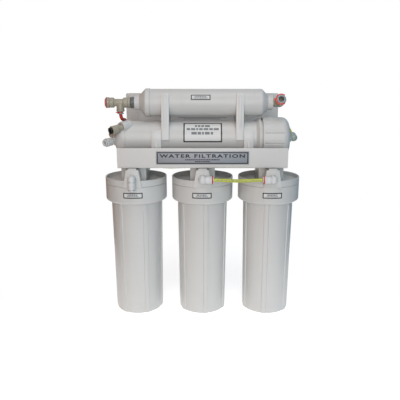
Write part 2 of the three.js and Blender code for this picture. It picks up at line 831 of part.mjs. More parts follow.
function singleClip() {
  const width = singleClipWidth;
  const foot = block(
    [-width / 2, membraneY - clipFootDepth / 2, shelfTop + touchGap],
    [width / 2, membraneY + clipFootDepth / 2, shelfTop + touchGap + clipFootHeight],
  );
  const post = block(
    [-width / 2, membraneY - clipPostDepth / 2, shelfTop + touchGap],
    [width / 2, membraneY + clipPostDepth / 2, membraneZ - membraneRadius / 2],
  );
  const band = pipe(membraneY, membraneZ, membraneRadius + pipeFit + clipWall, width);
  return cut(join([band, post, foot]), [
    pipe(membraneY, membraneZ, membraneRadius + pipeFit, width + 2),
    slab(width, membraneZ + singleClipTop, membraneZ + 2 * membraneRadius),
  ]);
}

function addClips() {
  [['left', -1], ['right', 1]].forEach(([word, side]) => {
    addPiece(`double_clip_${word}`, doubleClip(), 'housing', [side * doubleClipX, 0, 0]);
    addPiece(`membrane_clip_${word}`, singleClip(), 'housing', [side * singleClipX, 0, 0]);
  });
}

// ---- Push fittings: a socket's mouth is at its own Z = 0 and faces its own +Z ----
function colletRadius(fit) {
  return fit.tube + socketFit + colletWall;
}

function collet(fit) {
  const bore = fit.tube + socketFit;
  const outer = colletRadius(fit);
  return ringTurned([
    [bore, -colletDepth],
    [outer, -colletDepth],
    [outer, lockGap],
    [outer + flangeProud, lockGap],
    [outer + flangeProud, lockGap + flangeThickness],
    [bore, lockGap + flangeThickness],
  ], small);
}

// A red fork that keeps the collet out: it opens towards its own +X and has its tab on -X.
function lockClip(fit) {
  const inner = colletRadius(fit) + touchGap;
  const outer = inner + fit.clipWall;
  const top = touchGap + lockClipThickness;
  const disc = rod(outer, [0, 0, touchGap], [0, 0, top], 16);
  const half = lockClipTabWidth / 2;
  const tab = block([-outer - lockClipTab, -half, touchGap], [0, half, top]);
  return cut(join([disc, tab]), [
    rod(inner, [0, 0, 0], [0, 0, top + 1]),
    block([0, -inner, 0], [outer + 1, inner, top + 1]),
  ]);
}

function socketHoles(fit, mouth, direction) {
  const point = (distance) => shifted(mouth, direction, distance).toArray();
  const depth = colletDepth + colletTravel + touchGap;
  return [
    rod(colletRadius(fit) + socketFit, point(-depth), point(1)),
    rod(fit.tube + socketFit, point(-depth - tubeStop), point(1)),
  ];
}

// The shank points down its own -Z into a port, and the socket points along its own +X.
function elbow(fit) {
  const face = touchGap - fit.seat;
  const mouth = new THREE.Vector3(fit.arm, 0, 0);
  const ball = solidOf(new THREE.SphereGeometry(fit.ball, small, 6));
  const body = join([
    ball,
    rod(shankRadius, [0, 0, face - shankLength], [0, 0, 0]),
    rod(hexRadius, [0, 0, face], [0, 0, face + hexHeight], 6),
    rod(fit.socket, [fit.ball / 2, 0, 0], mouth.toArray()),
  ]);
  return cut(body, [
    rod(flowRadius, [0, 0, face - shankLength - 1], [0, 0, 0], fine),
    rod(flowRadius, [-flowRadius, 0, 0], mouth.toArray(), fine),
    ...socketHoles(fit, mouth, unitX),
  ]);
}

function addElbow(name, fit, centre, outward, sideways, materialName) {
  aim(addPiece(name, elbow(fit), materialName, centre.toArray()), outward, sideways);
}

function addCollet(name, fit, mouth, direction, side, materialName) {
  aim(addPiece(name, collet(fit), materialName, mouth.toArray()), direction, side);
}

function addLockClip(name, fit, mouth, direction, opening) {
  aim(addPiece(name, lockClip(fit), 'red', mouth.toArray()), direction, opening);
}

function headElbow(number, side, outlet) {
  const word = side < 0 ? 'front' : 'rear';
  const outward = unitY.clone().multiplyScalar(side);
  const centre = new THREE.Vector3((number - 2) * housingSpacing, side * ballY, portZ);
  addElbow(`${word}_elbow_${number}`, frontElbow, centre, outward, outlet, 'housing');
  return shifted(centre, outlet, frontElbow.arm);
}

function addHousingFittings() {
  const down = unitZ.clone().negate();
  const left = unitX.clone().negate();
  addCollet('inlet_collet', frontElbow, headElbow(1, -1, down), down, unitX, 'housing');
  [[2, unitX], [3, left]].forEach(([number, outlet]) => {
    const mouth = headElbow(number, -1, outlet);
    addCollet(`front_collet_${number}`, frontElbow, mouth, outlet, unitZ, 'housing');
    addLockClip(`front_lock_clip_${number}`, frontElbow, mouth, outlet, unitY);
  });
  headElbow(1, 1, unitX);
  headElbow(2, 1, left);
  headElbow(3, 1, unitX);
}

function feedCentre() {
  return new THREE.Vector3(capHubX + smallElbow.seat, membraneY, membraneZ);
}

function permeateCentre() {
  const x = membraneLeftX - smallElbow.seat;
  return new THREE.Vector3(x, membraneY + permeatePortY, membraneZ + permeatePortZ);
}

function teeCentre() {
  return new THREE.Vector3(teeX, filterY, filterZ);
}

function addMembraneFittings() {
  const left = unitX.clone().negate();
  const feedMouth = shifted(feedCentre(), feedOutlet, smallElbow.arm);
  const permeateMouth = shifted(permeateCentre(), unitY, smallElbow.arm);
  addElbow('feed_elbow', smallElbow, feedCentre(), unitX, feedOutlet, 'grey');
  addCollet('feed_collet', smallElbow, feedMouth, feedOutlet, unitX, 'grey');
  addElbow('permeate_elbow', smallElbow, permeateCentre(), left, unitY, 'beige');
  addCollet('permeate_collet', smallElbow, permeateMouth, unitY, unitX, 'grey');
}

function straightBody(fit) {
  const mouth = fit.length;
  const seat = mouth - colletDepth - colletTravel - touchGap;
  const shank = shankRadius - 1;
  return ringTurned([
    [flowRadius, -shankLength],
    [shank, -shankLength],
    [shank, touchGap],
    [fit.neck, touchGap],
    [fit.neck, fit.neckLength],
    [fit.socket, fit.neckLength],
    [fit.socket, mouth],
    [colletRadius(fit) + socketFit, mouth],
    [colletRadius(fit) + socketFit, seat],
    [fit.tube + socketFit, seat],
    [fit.tube + socketFit, seat - tubeStop],
    [flowRadius, seat - tubeStop],
  ], small);
}

function addStraightFitting(word, face, direction, bodyMaterial, colletMaterial) {
  const start = face.clone().add(new THREE.Vector3(0, membraneY, membraneZ));
  const side = new THREE.Vector3().crossVectors(unitZ, direction).normalize();
  const body = addPiece(`${word}_fitting`, straightBody(straightFitting), bodyMaterial, start.toArray());
  aim(body, direction, side);
  const mouth = shifted(start, direction, straightFitting.length);
  addCollet(`${word}_collet`, straightFitting, mouth, direction, side, colletMaterial);
}

function addTee() {
  const left = unitX.clone().negate();
  const down = unitZ.clone().negate();
  const leftMouth = new THREE.Vector3(-teeLeftArm, 0, 0);
  const branchMouth = new THREE.Vector3(0, 0, -teeBranchArm);
  const body = join([
    rod(teeLeft.socket, leftMouth.toArray(), [-teeLeftShoulder, 0, 0], 16),
    rod(teeCoreRadius, [-teeLeftShoulder - 1, 0, 0], [teeRightShoulder + 1, 0, 0]),
    rod(teeLeft.socket, [teeRightShoulder, 0, 0], [teeRightArm, 0, 0], 16),
    rod(teeBranch.socket, [0, 0, 0], branchMouth.toArray()),
  ]);
  const tee = cut(body, [
    rod(flowRadius, [-teeLeftArm, 0, 0], [teeRightArm, 0, 0], fine),
    rod(flowRadius, branchMouth.toArray(), [0, 0, flowRadius], fine),
    rod(stemRadius + touchGap, [teeRightArm - stemLength - 1, 0, 0], [teeRightArm + 1, 0, 0]),
    ...socketHoles(teeLeft, leftMouth, left),
    ...socketHoles(teeBranch, branchMouth, down),
  ]);
  const centre = teeCentre();
  addPiece('tee', tee, 'beige', centre.toArray());
  const leftPlace = leftMouth.add(centre);
  const branchPlace = branchMouth.add(centre);
  addCollet('tee_collet', teeLeft, leftPlace, left, unitY, 'grey');
  addLockClip('tee_lock_clip', teeLeft, leftPlace, left, unitY);
  addCollet('tee_branch_collet', teeBranch, branchPlace, down, unitY, 'grey');
  addLockClip('tee_branch_lock_clip', teeBranch, branchPlace, down, unitX);
}

function addTeeAdapter() {
  const collarLeft = teeX + teeRightArm + touchGap;
  const collarRight = collarLeft + adapterLength;
  const adapter = ringTurned([
    [flowRadius, collarLeft - stemLength],
    [stemRadius, collarLeft - stemLength],
    [stemRadius, collarLeft],
    [adapterRadius, collarLeft],
    [adapterRadius, collarRight],
    [shankRadius, collarRight],
    [shankRadius, collarRight + shankLength],
    [flowRadius, collarRight + shankLength],
  ], 16);
  addPiece('tee_adapter', turnedAlongX(adapter), 'dark', [0, filterY, filterZ]);
}

function addOutlet() {
  const outlet = outletDirection;
  const centre = new THREE.Vector3(filterNubRight + outletElbow.seat, filterY, filterZ);
  const mouth = shifted(centre, outlet, outletElbow.arm);
  addElbow('outlet_elbow', outletElbow, centre, unitX, outlet, 'beige');
  addCollet('outlet_collet', outletElbow, mouth, outlet, unitX, 'grey');
  addLockClip('outlet_lock_clip', outletElbow, mouth, outlet, unitX);
}

// ---- Tubes ----
function steppedFrom(centre, steps) {
  return steps.map((step) => centre.clone().add(new THREE.Vector3(...step)));
}

// A tube between two sockets that face each other.
function crossRoute(left, right, y) {
  const middle = (left + right) / 2;
  const xs = [left + tubeSeat, left + tubeStraight, middle, right - tubeStraight, right - tubeSeat];
  return xs.map((x) => new THREE.Vector3(x, y, x === middle ? portZ - tubeSag : portZ));
}

function addTube(name, route, materialName, steps) {
  const corners = [];
  for (let i = 0; i < tubeSides; i += 1) {
    const angle = (i * 2 * Math.PI) / tubeSides;
    corners.push(new THREE.Vector2(tubeRadius * Math.cos(angle), tubeRadius * Math.sin(angle)));
  }
  const geometry = new THREE.ExtrudeGeometry(new THREE.Shape(corners), {
    steps,
    extrudePath: new THREE.CatmullRomCurve3(route),
    bevelEnabled: false,
  });
  addPiece(name, solidOf(geometry), materialName);
}

function addTubes() {
  const feedStart = steppedFrom(feedCentre(), feedTubeStart);
  const feedAround = steppedFrom(new THREE.Vector3(bracketLength / 2, ballY, portZ), feedTubeAround);
  const feedEnd = steppedFrom(new THREE.Vector3(housingSpacing, ballY, portZ), feedTubeEnd);
  const permeateStart = steppedFrom(teeCentre(), permeateTubeStart);
  const permeateEnd = steppedFrom(permeateCentre(), permeateTubeEnd);
  addTube('front_tube', crossRoute(0, housingSpacing, -ballY), 'yellow', 8);
  addTube('rear_tube', crossRoute(-housingSpacing, 0, ballY), 'yellow', 8);
  addTube('feed_tube', [...feedStart, ...feedAround, ...feedEnd], 'yellow', 26);
  addTube('permeate_tube', [...permeateStart, ...permeateEnd], 'red', 22);
}

const cartridgeMaterials = ['sediment', 'carbon', 'carbon'];
for (let number = 1; number <= 3; number += 1) {
  const x = (number - 2) * housingSpacing;
  addHead(number, x);
  addSump(number, x);
  addSumpRing(number, x);
  addCartridge(number, x, cartridgeMaterials[number - 1]);
}
addBracket();
addNameplate();
addMembraneHousing();
addMembraneCap();
addMembraneElement();
addFilterBody();
addFilterEndCap();
addFilterMedia();
addClips();
addHousingFittings();
addMembraneFittings();
addStraightFitting('drain', drainPort, drainDirection, 'grey', 'black');
addStraightFitting('flush', flushPort, flushDirection, 'housing', 'housing');
addTee();
addTeeAdapter();
addOutlet();
addTubes();

export default group;
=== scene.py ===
# %% [markdown]
# # A five-stage reverse osmosis unit
# Three white filter housings hang from a folded steel bracket. On the bracket's shelf lie a membrane
# housing and, above it, a thin inline filter, and plastic tube joins them all.
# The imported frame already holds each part's place and size. This lesson builds the fine surface that a
# camera sees: turned, extruded and swept meshes with small radii, and procedural finishes.

# %% Load the frame
import math
import random

import bmesh
import bpy
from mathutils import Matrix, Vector


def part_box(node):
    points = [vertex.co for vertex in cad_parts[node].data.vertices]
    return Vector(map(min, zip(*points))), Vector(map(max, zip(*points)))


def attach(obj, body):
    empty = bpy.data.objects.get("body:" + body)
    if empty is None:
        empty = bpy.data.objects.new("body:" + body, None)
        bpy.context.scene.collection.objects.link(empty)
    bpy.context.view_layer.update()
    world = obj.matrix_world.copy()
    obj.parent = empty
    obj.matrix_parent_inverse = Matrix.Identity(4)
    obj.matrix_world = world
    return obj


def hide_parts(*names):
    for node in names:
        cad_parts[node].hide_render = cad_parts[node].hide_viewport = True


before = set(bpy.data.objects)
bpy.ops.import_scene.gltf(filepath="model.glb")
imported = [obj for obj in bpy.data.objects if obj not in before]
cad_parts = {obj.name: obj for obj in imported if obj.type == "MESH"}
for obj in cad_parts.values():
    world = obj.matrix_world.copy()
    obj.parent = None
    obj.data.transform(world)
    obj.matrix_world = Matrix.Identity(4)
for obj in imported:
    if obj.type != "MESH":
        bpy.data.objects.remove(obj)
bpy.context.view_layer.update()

MM = 0.001


def box_mm(node):
    """The lowest and highest corners of a frame node, in millimetres."""
    low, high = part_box(node)
    return low / MM, high / MM


def middle_mm(node):
    low, high = box_mm(node)
    return (low + high) / 2


# %% [markdown]
# ## Camera
# The camera stands about a metre in front of the unit, a little above the shelf, and looks down by 14
# degrees, so the eye sees into the dished heads and still reads the nameplate square on.

# %% Camera
camera_place = Vector((-4.7, -955.9, 463.0)) * MM
camera_pitch = math.radians(13.96)
camera_data = bpy.data.cameras.new("studio_camera")
camera_data.lens = 44.15
camera_data.sensor_width = 36.0
camera = bpy.data.objects.new("studio_camera", camera_data)
camera.location = camera_place
camera.rotation_euler = (math.radians(90) - camera_pitch, 0.0, 0.0)
bpy.context.scene.collection.objects.link(camera)
bpy.context.scene.camera = camera
bpy.context.scene.view_settings.view_transform = "Standard"
print("camera at", [round(v, 3) for v in camera.location])

# %% [markdown]
# ## Light and floor
# White mouldings on a white ground vanish if the light is the same from all round. So the surroundings
# are dimmer and warm on the left, dimmer and cool on the right, and bright in front, which rims every
# round part with its own tone. A key panel and a top panel put a long gloss line on the pipes.

# %% Light and floor
def panel(name, place, size, power, colour):
    """A square soft light that faces the middle of the unit."""
    data = bpy.data.lights.new(name, "AREA")
    data.energy = power
    data.size = size
    data.color = colour
    light = bpy.data.objects.new(name, data)
    light.location = place
    target = Vector((0.0, 0.0, 0.25))
    light.rotation_euler = (target - Vector(place)).to_track_quat("-Z", "Y").to_euler()
    bpy.context.scene.collection.objects.link(light)
    return light


panel("key_panel", (-0.05, -1.7, 0.75), 1.2, 13, (1.0, 0.99, 0.98))
panel("top_panel", (0.1, -0.5, 1.6), 0.8, 4.5, (1.0, 1.0, 1.0))


def gradient_world():
    """White behind the unit; for the light itself, warm and dim on the left, cool and dim on the right."""
    world = bpy.data.worlds.new("white_studio")
    world.use_nodes = True
    tree = world.node_tree
    sky = tree.nodes["Background"]
    backdrop = tree.nodes.new("ShaderNodeBackground")
    backdrop.inputs["Color"].default_value = (1.0, 1.0, 1.0, 1.0)
    direction = tree.nodes.new("ShaderNodeTexCoord")
    parts = tree.nodes.new("ShaderNodeSeparateXYZ")
    shift = tree.nodes.new("ShaderNodeMapRange")
    shift.inputs["From Min"].default_value = -1.0
    ramp = tree.nodes.new("ShaderNodeValToRGB").color_ramp
    ramp.elements[0].color = (0.06, 0.02, 0.005, 1.0)
    ramp.elements[1].color = (0.005, 0.05, 0.10, 1.0)
    for position, colour in ((0.18, (0.22, 0.10, 0.045, 1.0)), (0.36, (0.58, 0.47, 0.41, 1.0)),
                             (0.5, (0.90, 0.90, 0.90, 1.0)), (0.64, (0.44, 0.55, 0.62, 1.0)),
                             (0.82, (0.09, 0.21, 0.31, 1.0))):
        ramp.elements.new(position).color = colour
    path = tree.nodes.new("ShaderNodeLightPath")
    choice = tree.nodes.new("ShaderNodeMixShader")
    tree.links.new(direction.outputs["Generated"], parts.inputs[0])
    tree.links.new(parts.outputs["X"], shift.inputs["Value"])
    tree.links.new(shift.outputs["Result"], tree.nodes["Color Ramp"].inputs["Fac"])
    tree.links.new(tree.nodes["Color Ramp"].outputs["Color"], sky.inputs["Color"])
    tree.links.new(path.outputs["Is Camera Ray"], choice.inputs["Fac"])
    tree.links.new(sky.outputs["Background"], choice.inputs[1])
    tree.links.new(backdrop.outputs["Background"], choice.inputs[2])
    tree.links.new(choice.outputs["Shader"], tree.nodes["World Output"].inputs["Surface"])
    return world


bpy.context.scene.world = gradient_world()

# %% [markdown]
# ## Writing shader maths as Python
# A finish is a small network of nodes. To read it like a formula, one class wraps an output socket and
# turns `a * b + 1` into Math nodes. A second class owns the material and makes every other node.

# %% Sockets as numbers
class Wire:
    """An output socket that can be added to, multiplied and so on."""

    def __init__(self, finish, socket):
        self.finish = finish
        self.socket = socket

    def _join(self, operation, first, second):
        return self.finish.node("ShaderNodeMath", {"operation": operation}, {0: first, 1: second})

    def __add__(self, other):
        return self._join("ADD", self, other)

    def __radd__(self, other):
        return self._join("ADD", other, self)

    def __sub__(self, other):
        return self._join("SUBTRACT", self, other)

    def __rsub__(self, other):
        return self._join("SUBTRACT", other, self)

    def __mul__(self, other):
        return self._join("MULTIPLY", self, other)

    def __rmul__(self, other):
        return self._join("MULTIPLY", other, self)

    def __truediv__(self, other):
        return self._join("DIVIDE", self, other)

    def __rtruediv__(self, other):
        return self._join("DIVIDE", other, self)

    def __pow__(self, other):
        return self._join("POWER", self, other)


class Finish:
    """A material with its main shader, and one method that makes any node."""

    def __init__(self, name, roughness=0.5, metallic=0.0, coat=0.0):
        self.material = bpy.data.materials.new(name)
        self.material.use_nodes = True
        self.tree = self.material.node_tree
        self.shader = self.tree.nodes["Principled BSDF"]
        self.shader.inputs["Roughness"].default_value = roughness
        self.shader.inputs["Metallic"].default_value = metallic
        self.shader.inputs["Coat Weight"].default_value = coat
        self.place = self.node("ShaderNodeTexCoord", {}, {}, "Object")

    def feed(self, socket, value):
        if isinstance(value, Wire):
            self.tree.links.new(value.socket, socket)
        else:
            socket.default_value = value

    def node(self, kind, settings, sockets, output=0):
        made = self.tree.nodes.new(kind)
        for key, value in settings.items():
            if key == "stops":
                for stop, (position, level) in zip(made.color_ramp.elements, value):
                    stop.position = position
                    stop.color = (level, level, level, 1.0)
            else:
                setattr(made, key, value)
        for key, value in sockets.items():
            self.feed(made.inputs[key], value)
        return Wire(self, made.outputs[output])

    def noise(self, scale, detail=2.0, stretch=(1.0, 1.0, 1.0)):
        """Noise whose grain is 1 / scale metres, drawn out along the smaller stretch."""
        where = self.node("ShaderNodeMapping", {}, {"Vector": self.place, "Scale": stretch})
        sockets = {"Vector": where, "Scale": scale, "Detail": detail}
        return self.node("ShaderNodeTexNoise", {}, sockets)

    def ramp(self, value, low, high):
        """0 below low, 1 above high."""
        return self.node("ShaderNodeValToRGB", {"stops": ((low, 0.0), (high, 1.0))}, {"Fac": value})

    def blend(self, share, first, second):
        """A colour between two colours."""
        sockets = {0: share, 6: first, 7: second}
        return self.node("ShaderNodeMix", {"data_type": "RGBA"}, sockets, 2)

    def colour(self, value):
        self.feed(self.shader.inputs["Base Color"], value)

    def rough(self, value):
        self.feed(self.shader.inputs["Roughness"], value)

    def bump(self, height, strength, distance=0.0002):
        sockets = {"Height": height, "Strength": strength, "Distance": distance}
        self.feed(self.shader.inputs["Normal"], self.node("ShaderNodeBump", {}, sockets))


def rgb(red, green, blue):
    return (red, green, blue, 1.0)


def tinted(colour, factor):
    return tuple(v * factor for v in colour[:3]) + (1.0,)


# %% [markdown]
# ## Moulded plastic
# The housings, clips and fittings are injection moulded. A mould leaves a faint satin grain, slow
# clouds of tone where the melt cooled at different rates, and a little handling grime. A plain colour
# would look like a drawing, so the tone, the roughness and the bump each get a noise of their own scale.

# %% Moulded plastic
def moulded(name, colour, roughness=0.42, grain=1500.0, grain_height=0.10, cloud=0.05, coat=0.0):
    finish = Finish(name, roughness=roughness, coat=coat)
    clouds = finish.noise(14.0, 3.0)
    scuffs = finish.ramp(finish.noise(70.0, 6.0, (1.0, 1.0, 0.25)), 0.58, 0.74)
    toned = finish.blend(clouds, tinted(colour, 1.0 - cloud), tinted(colour, 1.0 + cloud))
    finish.colour(finish.blend(scuffs * 0.22, toned, tinted(colour, 0.86)))
    finish.rough(roughness - 0.05 + clouds * 0.10 + scuffs * 0.12)
    finish.bump(finish.noise(grain, 3.0) + scuffs * 0.3, grain_height)
    return finish.material


white = moulded("white_polypropylene", rgb(0.53, 0.53, 0.52), 0.36, cloud=0.025)
white_fitting = moulded("white_acetal", rgb(0.59, 0.60, 0.60), 0.30, 2200.0, 0.06, 0.02)
white_strap = moulded("white_clip_plastic", rgb(0.57, 0.57, 0.565), 0.34, 1800.0, 0.08, 0.02)
beige = moulded("beige_acetal", rgb(0.335, 0.31, 0.245), 0.34, 2200.0, 0.08, 0.07)
dark_grey = moulded("dark_grey_acetal", rgb(0.10, 0.115, 0.115), 0.36, 2200.0, 0.08, 0.08)
grey = moulded("grey_acetal", rgb(0.25, 0.31, 0.34), 0.30, 2200.0, 0.08, 0.06)
sea_grey = moulded("sea_grey_acetal", rgb(0.27, 0.32, 0.29), 0.30, 2200.0, 0.08, 0.06)
black = moulded("black_acetal", rgb(0.012, 0.012, 0.014), 0.35, 2200.0, 0.08, 0.10)
red_clip = moulded("red_acetal", rgb(0.60, 0.035, 0.02), 0.28, 2500.0, 0.05, 0.06)
print("moulded finishes made")

# %% [markdown]
# ## Powder-coated steel
# Powder coat melts into a skin with an orange-peel ripple about two millimetres across. The ripple is
# what breaks up the highlight on the long flat lip, so it goes into the bump rather than the colour.

# %% Powder coat, plate and label finishes
def powder_coat(name, colour):
    finish = Finish(name, roughness=0.45)
    peel = finish.noise(520.0, 1.0)
    clouds = finish.noise(6.0, 3.0)
    finish.colour(finish.blend(clouds, tinted(colour, 0.975), tinted(colour, 1.025)))
    finish.rough(0.40 + clouds * 0.08)
    finish.bump(peel, 0.16, 0.0003)
    return finish.material


def brushed_plate(name, colour):
    finish = Finish(name, roughness=0.42, metallic=0.35)
    lines = finish.noise(160.0, 4.0, (0.06, 1.0, 6.0))
    finish.colour(finish.blend(lines, tinted(colour, 0.88), tinted(colour, 1.12)))
    finish.rough(0.34 + lines * 0.16)
    finish.bump(lines, 0.05, 0.00005)
    return finish.material


def printed(name, colour, roughness):
    """Ink or vinyl: nearly even, with a faint fleck."""
    finish = Finish(name, roughness=roughness)
    fleck = finish.noise(900.0, 2.0)
    finish.colour(finish.blend(fleck, tinted(colour, 0.94), tinted(colour, 1.06)))
    finish.rough(roughness - 0.04 + fleck * 0.08)
    return finish.material


coated_steel = powder_coat("white_powder_coat", rgb(0.56, 0.555, 0.545))
silver_plate = brushed_plate("brushed_silver", rgb(0.255, 0.27, 0.30))
black_ink = printed("black_ink", rgb(0.010, 0.011, 0.013), 0.35)
grey_ink = printed("grey_ink", rgb(0.16, 0.17, 0.18), 0.40)
label_vinyl = printed("white_vinyl", rgb(0.60, 0.61, 0.60), 0.32)

# %% [markdown]
# ## Tube, rubber and what the housings hold
# Polyethylene tube is slightly clear and drawn in one go, so its tone wanders between a light and a deep
# shade along the wall, under a thin gloss coat. The wound cartridge gets diagonal ridges, the carbon
# block a coarse grain, and the membrane a smooth tape wrap with overlapping turns.

# %% Tube, rubber and filter media
def clear_tube(name, colour, deep):
    finish = Finish(name, roughness=0.22, coat=0.25)
    flow = finish.noise(90.0, 2.0)
    finish.colour(finish.blend(flow * 0.7, colour, deep))
    finish.rough(0.18 + flow * 0.10)
    finish.bump(finish.noise(700.0, 1.0), 0.04)
    return finish.material


def rubbery(name):
    finish = Finish(name, roughness=0.7)
    bloom = finish.noise(300.0, 3.0)
    finish.colour(finish.blend(bloom, rgb(0.014, 0.014, 0.015), rgb(0.035, 0.035, 0.036)))
    finish.bump(bloom, 0.1)
    return finish.material


def wound_fibre(name):
    finish = Finish(name, roughness=0.9)
    sockets = {"Vector": finish.place, "Scale": 60.0, "Distortion": 1.2, "Detail": 3.0}
    winds = finish.node("ShaderNodeTexWave", {"bands_direction": "DIAGONAL"}, sockets, 1)
    finish.colour(finish.blend(winds, rgb(0.60, 0.59, 0.54), rgb(0.82, 0.81, 0.77)))
    finish.bump(winds, 0.5, 0.001)
    return finish.material


def carbon_grain(name):
    finish = Finish(name, roughness=0.8)
    cells = finish.node("ShaderNodeTexVoronoi", {}, {"Vector": finish.place, "Scale": 700.0})
    finish.colour(finish.blend(cells, rgb(0.012, 0.012, 0.012), rgb(0.05, 0.05, 0.05)))
    finish.bump(cells, 0.4, 0.0005)
    return finish.material


def tape_wrap(name):
    finish = Finish(name, roughness=0.3)
    sockets = {"Vector": finish.place, "Scale": 12.0, "Distortion": 0.3}
    turns = finish.node("ShaderNodeTexWave", {"bands_direction": "X", "wave_profile": "SAW"}, sockets, 1)
    finish.colour(finish.blend(turns, rgb(0.03, 0.10, 0.30), rgb(0.06, 0.17, 0.42)))
    finish.bump(turns, 0.2, 0.0005)
    return finish.material


yellow_tube = clear_tube("yellow_green_tube", rgb(0.45, 0.465, 0.013), rgb(0.34, 0.42, 0.011))
red_tube = clear_tube("red_tube", rgb(0.58, 0.050, 0.025), rgb(0.42, 0.030, 0.018))
rubber = rubbery("black_rubber")
wound = wound_fibre("wound_fibre")
carbon = carbon_grain("pressed_carbon")
membrane_wrap = tape_wrap("membrane_tape")

# %% [markdown]
# ## A small workshop
# Nearly every piece here is turned on an axis, extruded from an outline or swept along a path. One class
# gathers such solids in millimetres, and then makes the finished object: it softens the sharp edges,
# smooths the rest, parents the piece to the empty of the body it rides on and hides the frame nodes it
# replaces.

# %% Outlines
def rounded(corners, steps=4, closed=True):
    """An outline from (x, y, radius) corners, each turned by a short curve."""
    points = []
    count = len(corners)
    for i, (x, y, radius) in enumerate(corners):
        here = Vector((x, y))
        if radius <= 0 or (not closed and i in (0, count - 1)):
            points.append((x, y))
            continue
        before = Vector(corners[i - 1][:2]) - here
        after = Vector(corners[(i + 1) % count][:2]) - here
        reach = min(radius, before.length * 0.49, after.length * 0.49)
        start = here + before.normalized() * reach
        end = here + after.normalized() * reach
        for k in range(steps + 1):
            t = k / steps
            spot = start * (1 - t) ** 2 + here * 2 * t * (1 - t) + end * t ** 2
            points.append((spot.x, spot.y))
    return points


def profile(corners, steps=4):
    """A rounded outline that is open, because both its ends lie on the axis."""
    return rounded(corners, steps, closed=False)


def arc(centre, radius, first, last, steps=16):
    """Points on a circle, with angles in degrees."""
    points = []
    for k in range(steps + 1):
        angle = math.radians(first + (last - first) * k / steps)
        points.append((centre[0] + radius * math.cos(angle), centre[1] + radius * math.sin(angle)))
    return points


def smooth_route(points, spacing=3.0):
    """A centripetal curve through the points, sampled at even steps of its own parameter."""
    route = [Vector(p) for p in points]
    ends = [route[0] * 2 - route[1], *route, route[-1] * 2 - route[-2]]
    samples = []
    for i in range(1, len(ends) - 2):
        p0, p1, p2, p3 = ends[i - 1:i + 3]
        gaps = [max((b - a).length ** 0.5, 1e-6) for a, b in ((p0, p1), (p1, p2), (p2, p3))]
        m1 = ((p1 - p0) / gaps[0] - (p2 - p0) / (gaps[0] + gaps[1]) + (p2 - p1) / gaps[1]) * gaps[1]
        m2 = ((p2 - p1) / gaps[1] - (p3 - p1) / (gaps[1] + gaps[2]) + (p3 - p2) / gaps[2]) * gaps[1]
        steps = max(2, round((p2 - p1).length / spacing))
        for k in range(steps):
            t = k / steps
            samples.append(
                p1 * (2 * t ** 3 - 3 * t ** 2 + 1) + m1 * (t ** 3 - 2 * t ** 2 + t)
                + p2 * (3 * t ** 2 - 2 * t ** 3) + m2 * (t ** 3 - t ** 2)
            )
    samples.append(route[-1])
    return samples


# %% Solids
X, Y, Z = Vector((1, 0, 0)), Vector((0, 1, 0)), Vector((0, 0, 1))


def any_side(direction):
    """A unit vector square to a direction."""
    return direction.cross(Y if abs(direction.y) < 0.9 else X).normalized()


def soften_edges(build, limit, offset):
    """Gives every edge sharper than limit a small round of offset millimetres."""
    edges = [e for e in build.edges if e.is_manifold and e.calc_face_angle() > math.radians(limit)]
    bmesh.ops.bevel(
        build, geom=edges, offset=offset * MM, segments=2, profile=0.6, affect="EDGES", clamp_overlap=True,
    )


def shade(build):
    """Smooth faces, with a break only at edges that are still sharp."""
    for face in build.faces:
        face.smooth = True
    for edge in build.edges:
        edge.smooth = not edge.is_manifold or edge.calc_face_angle() < math.radians(38)


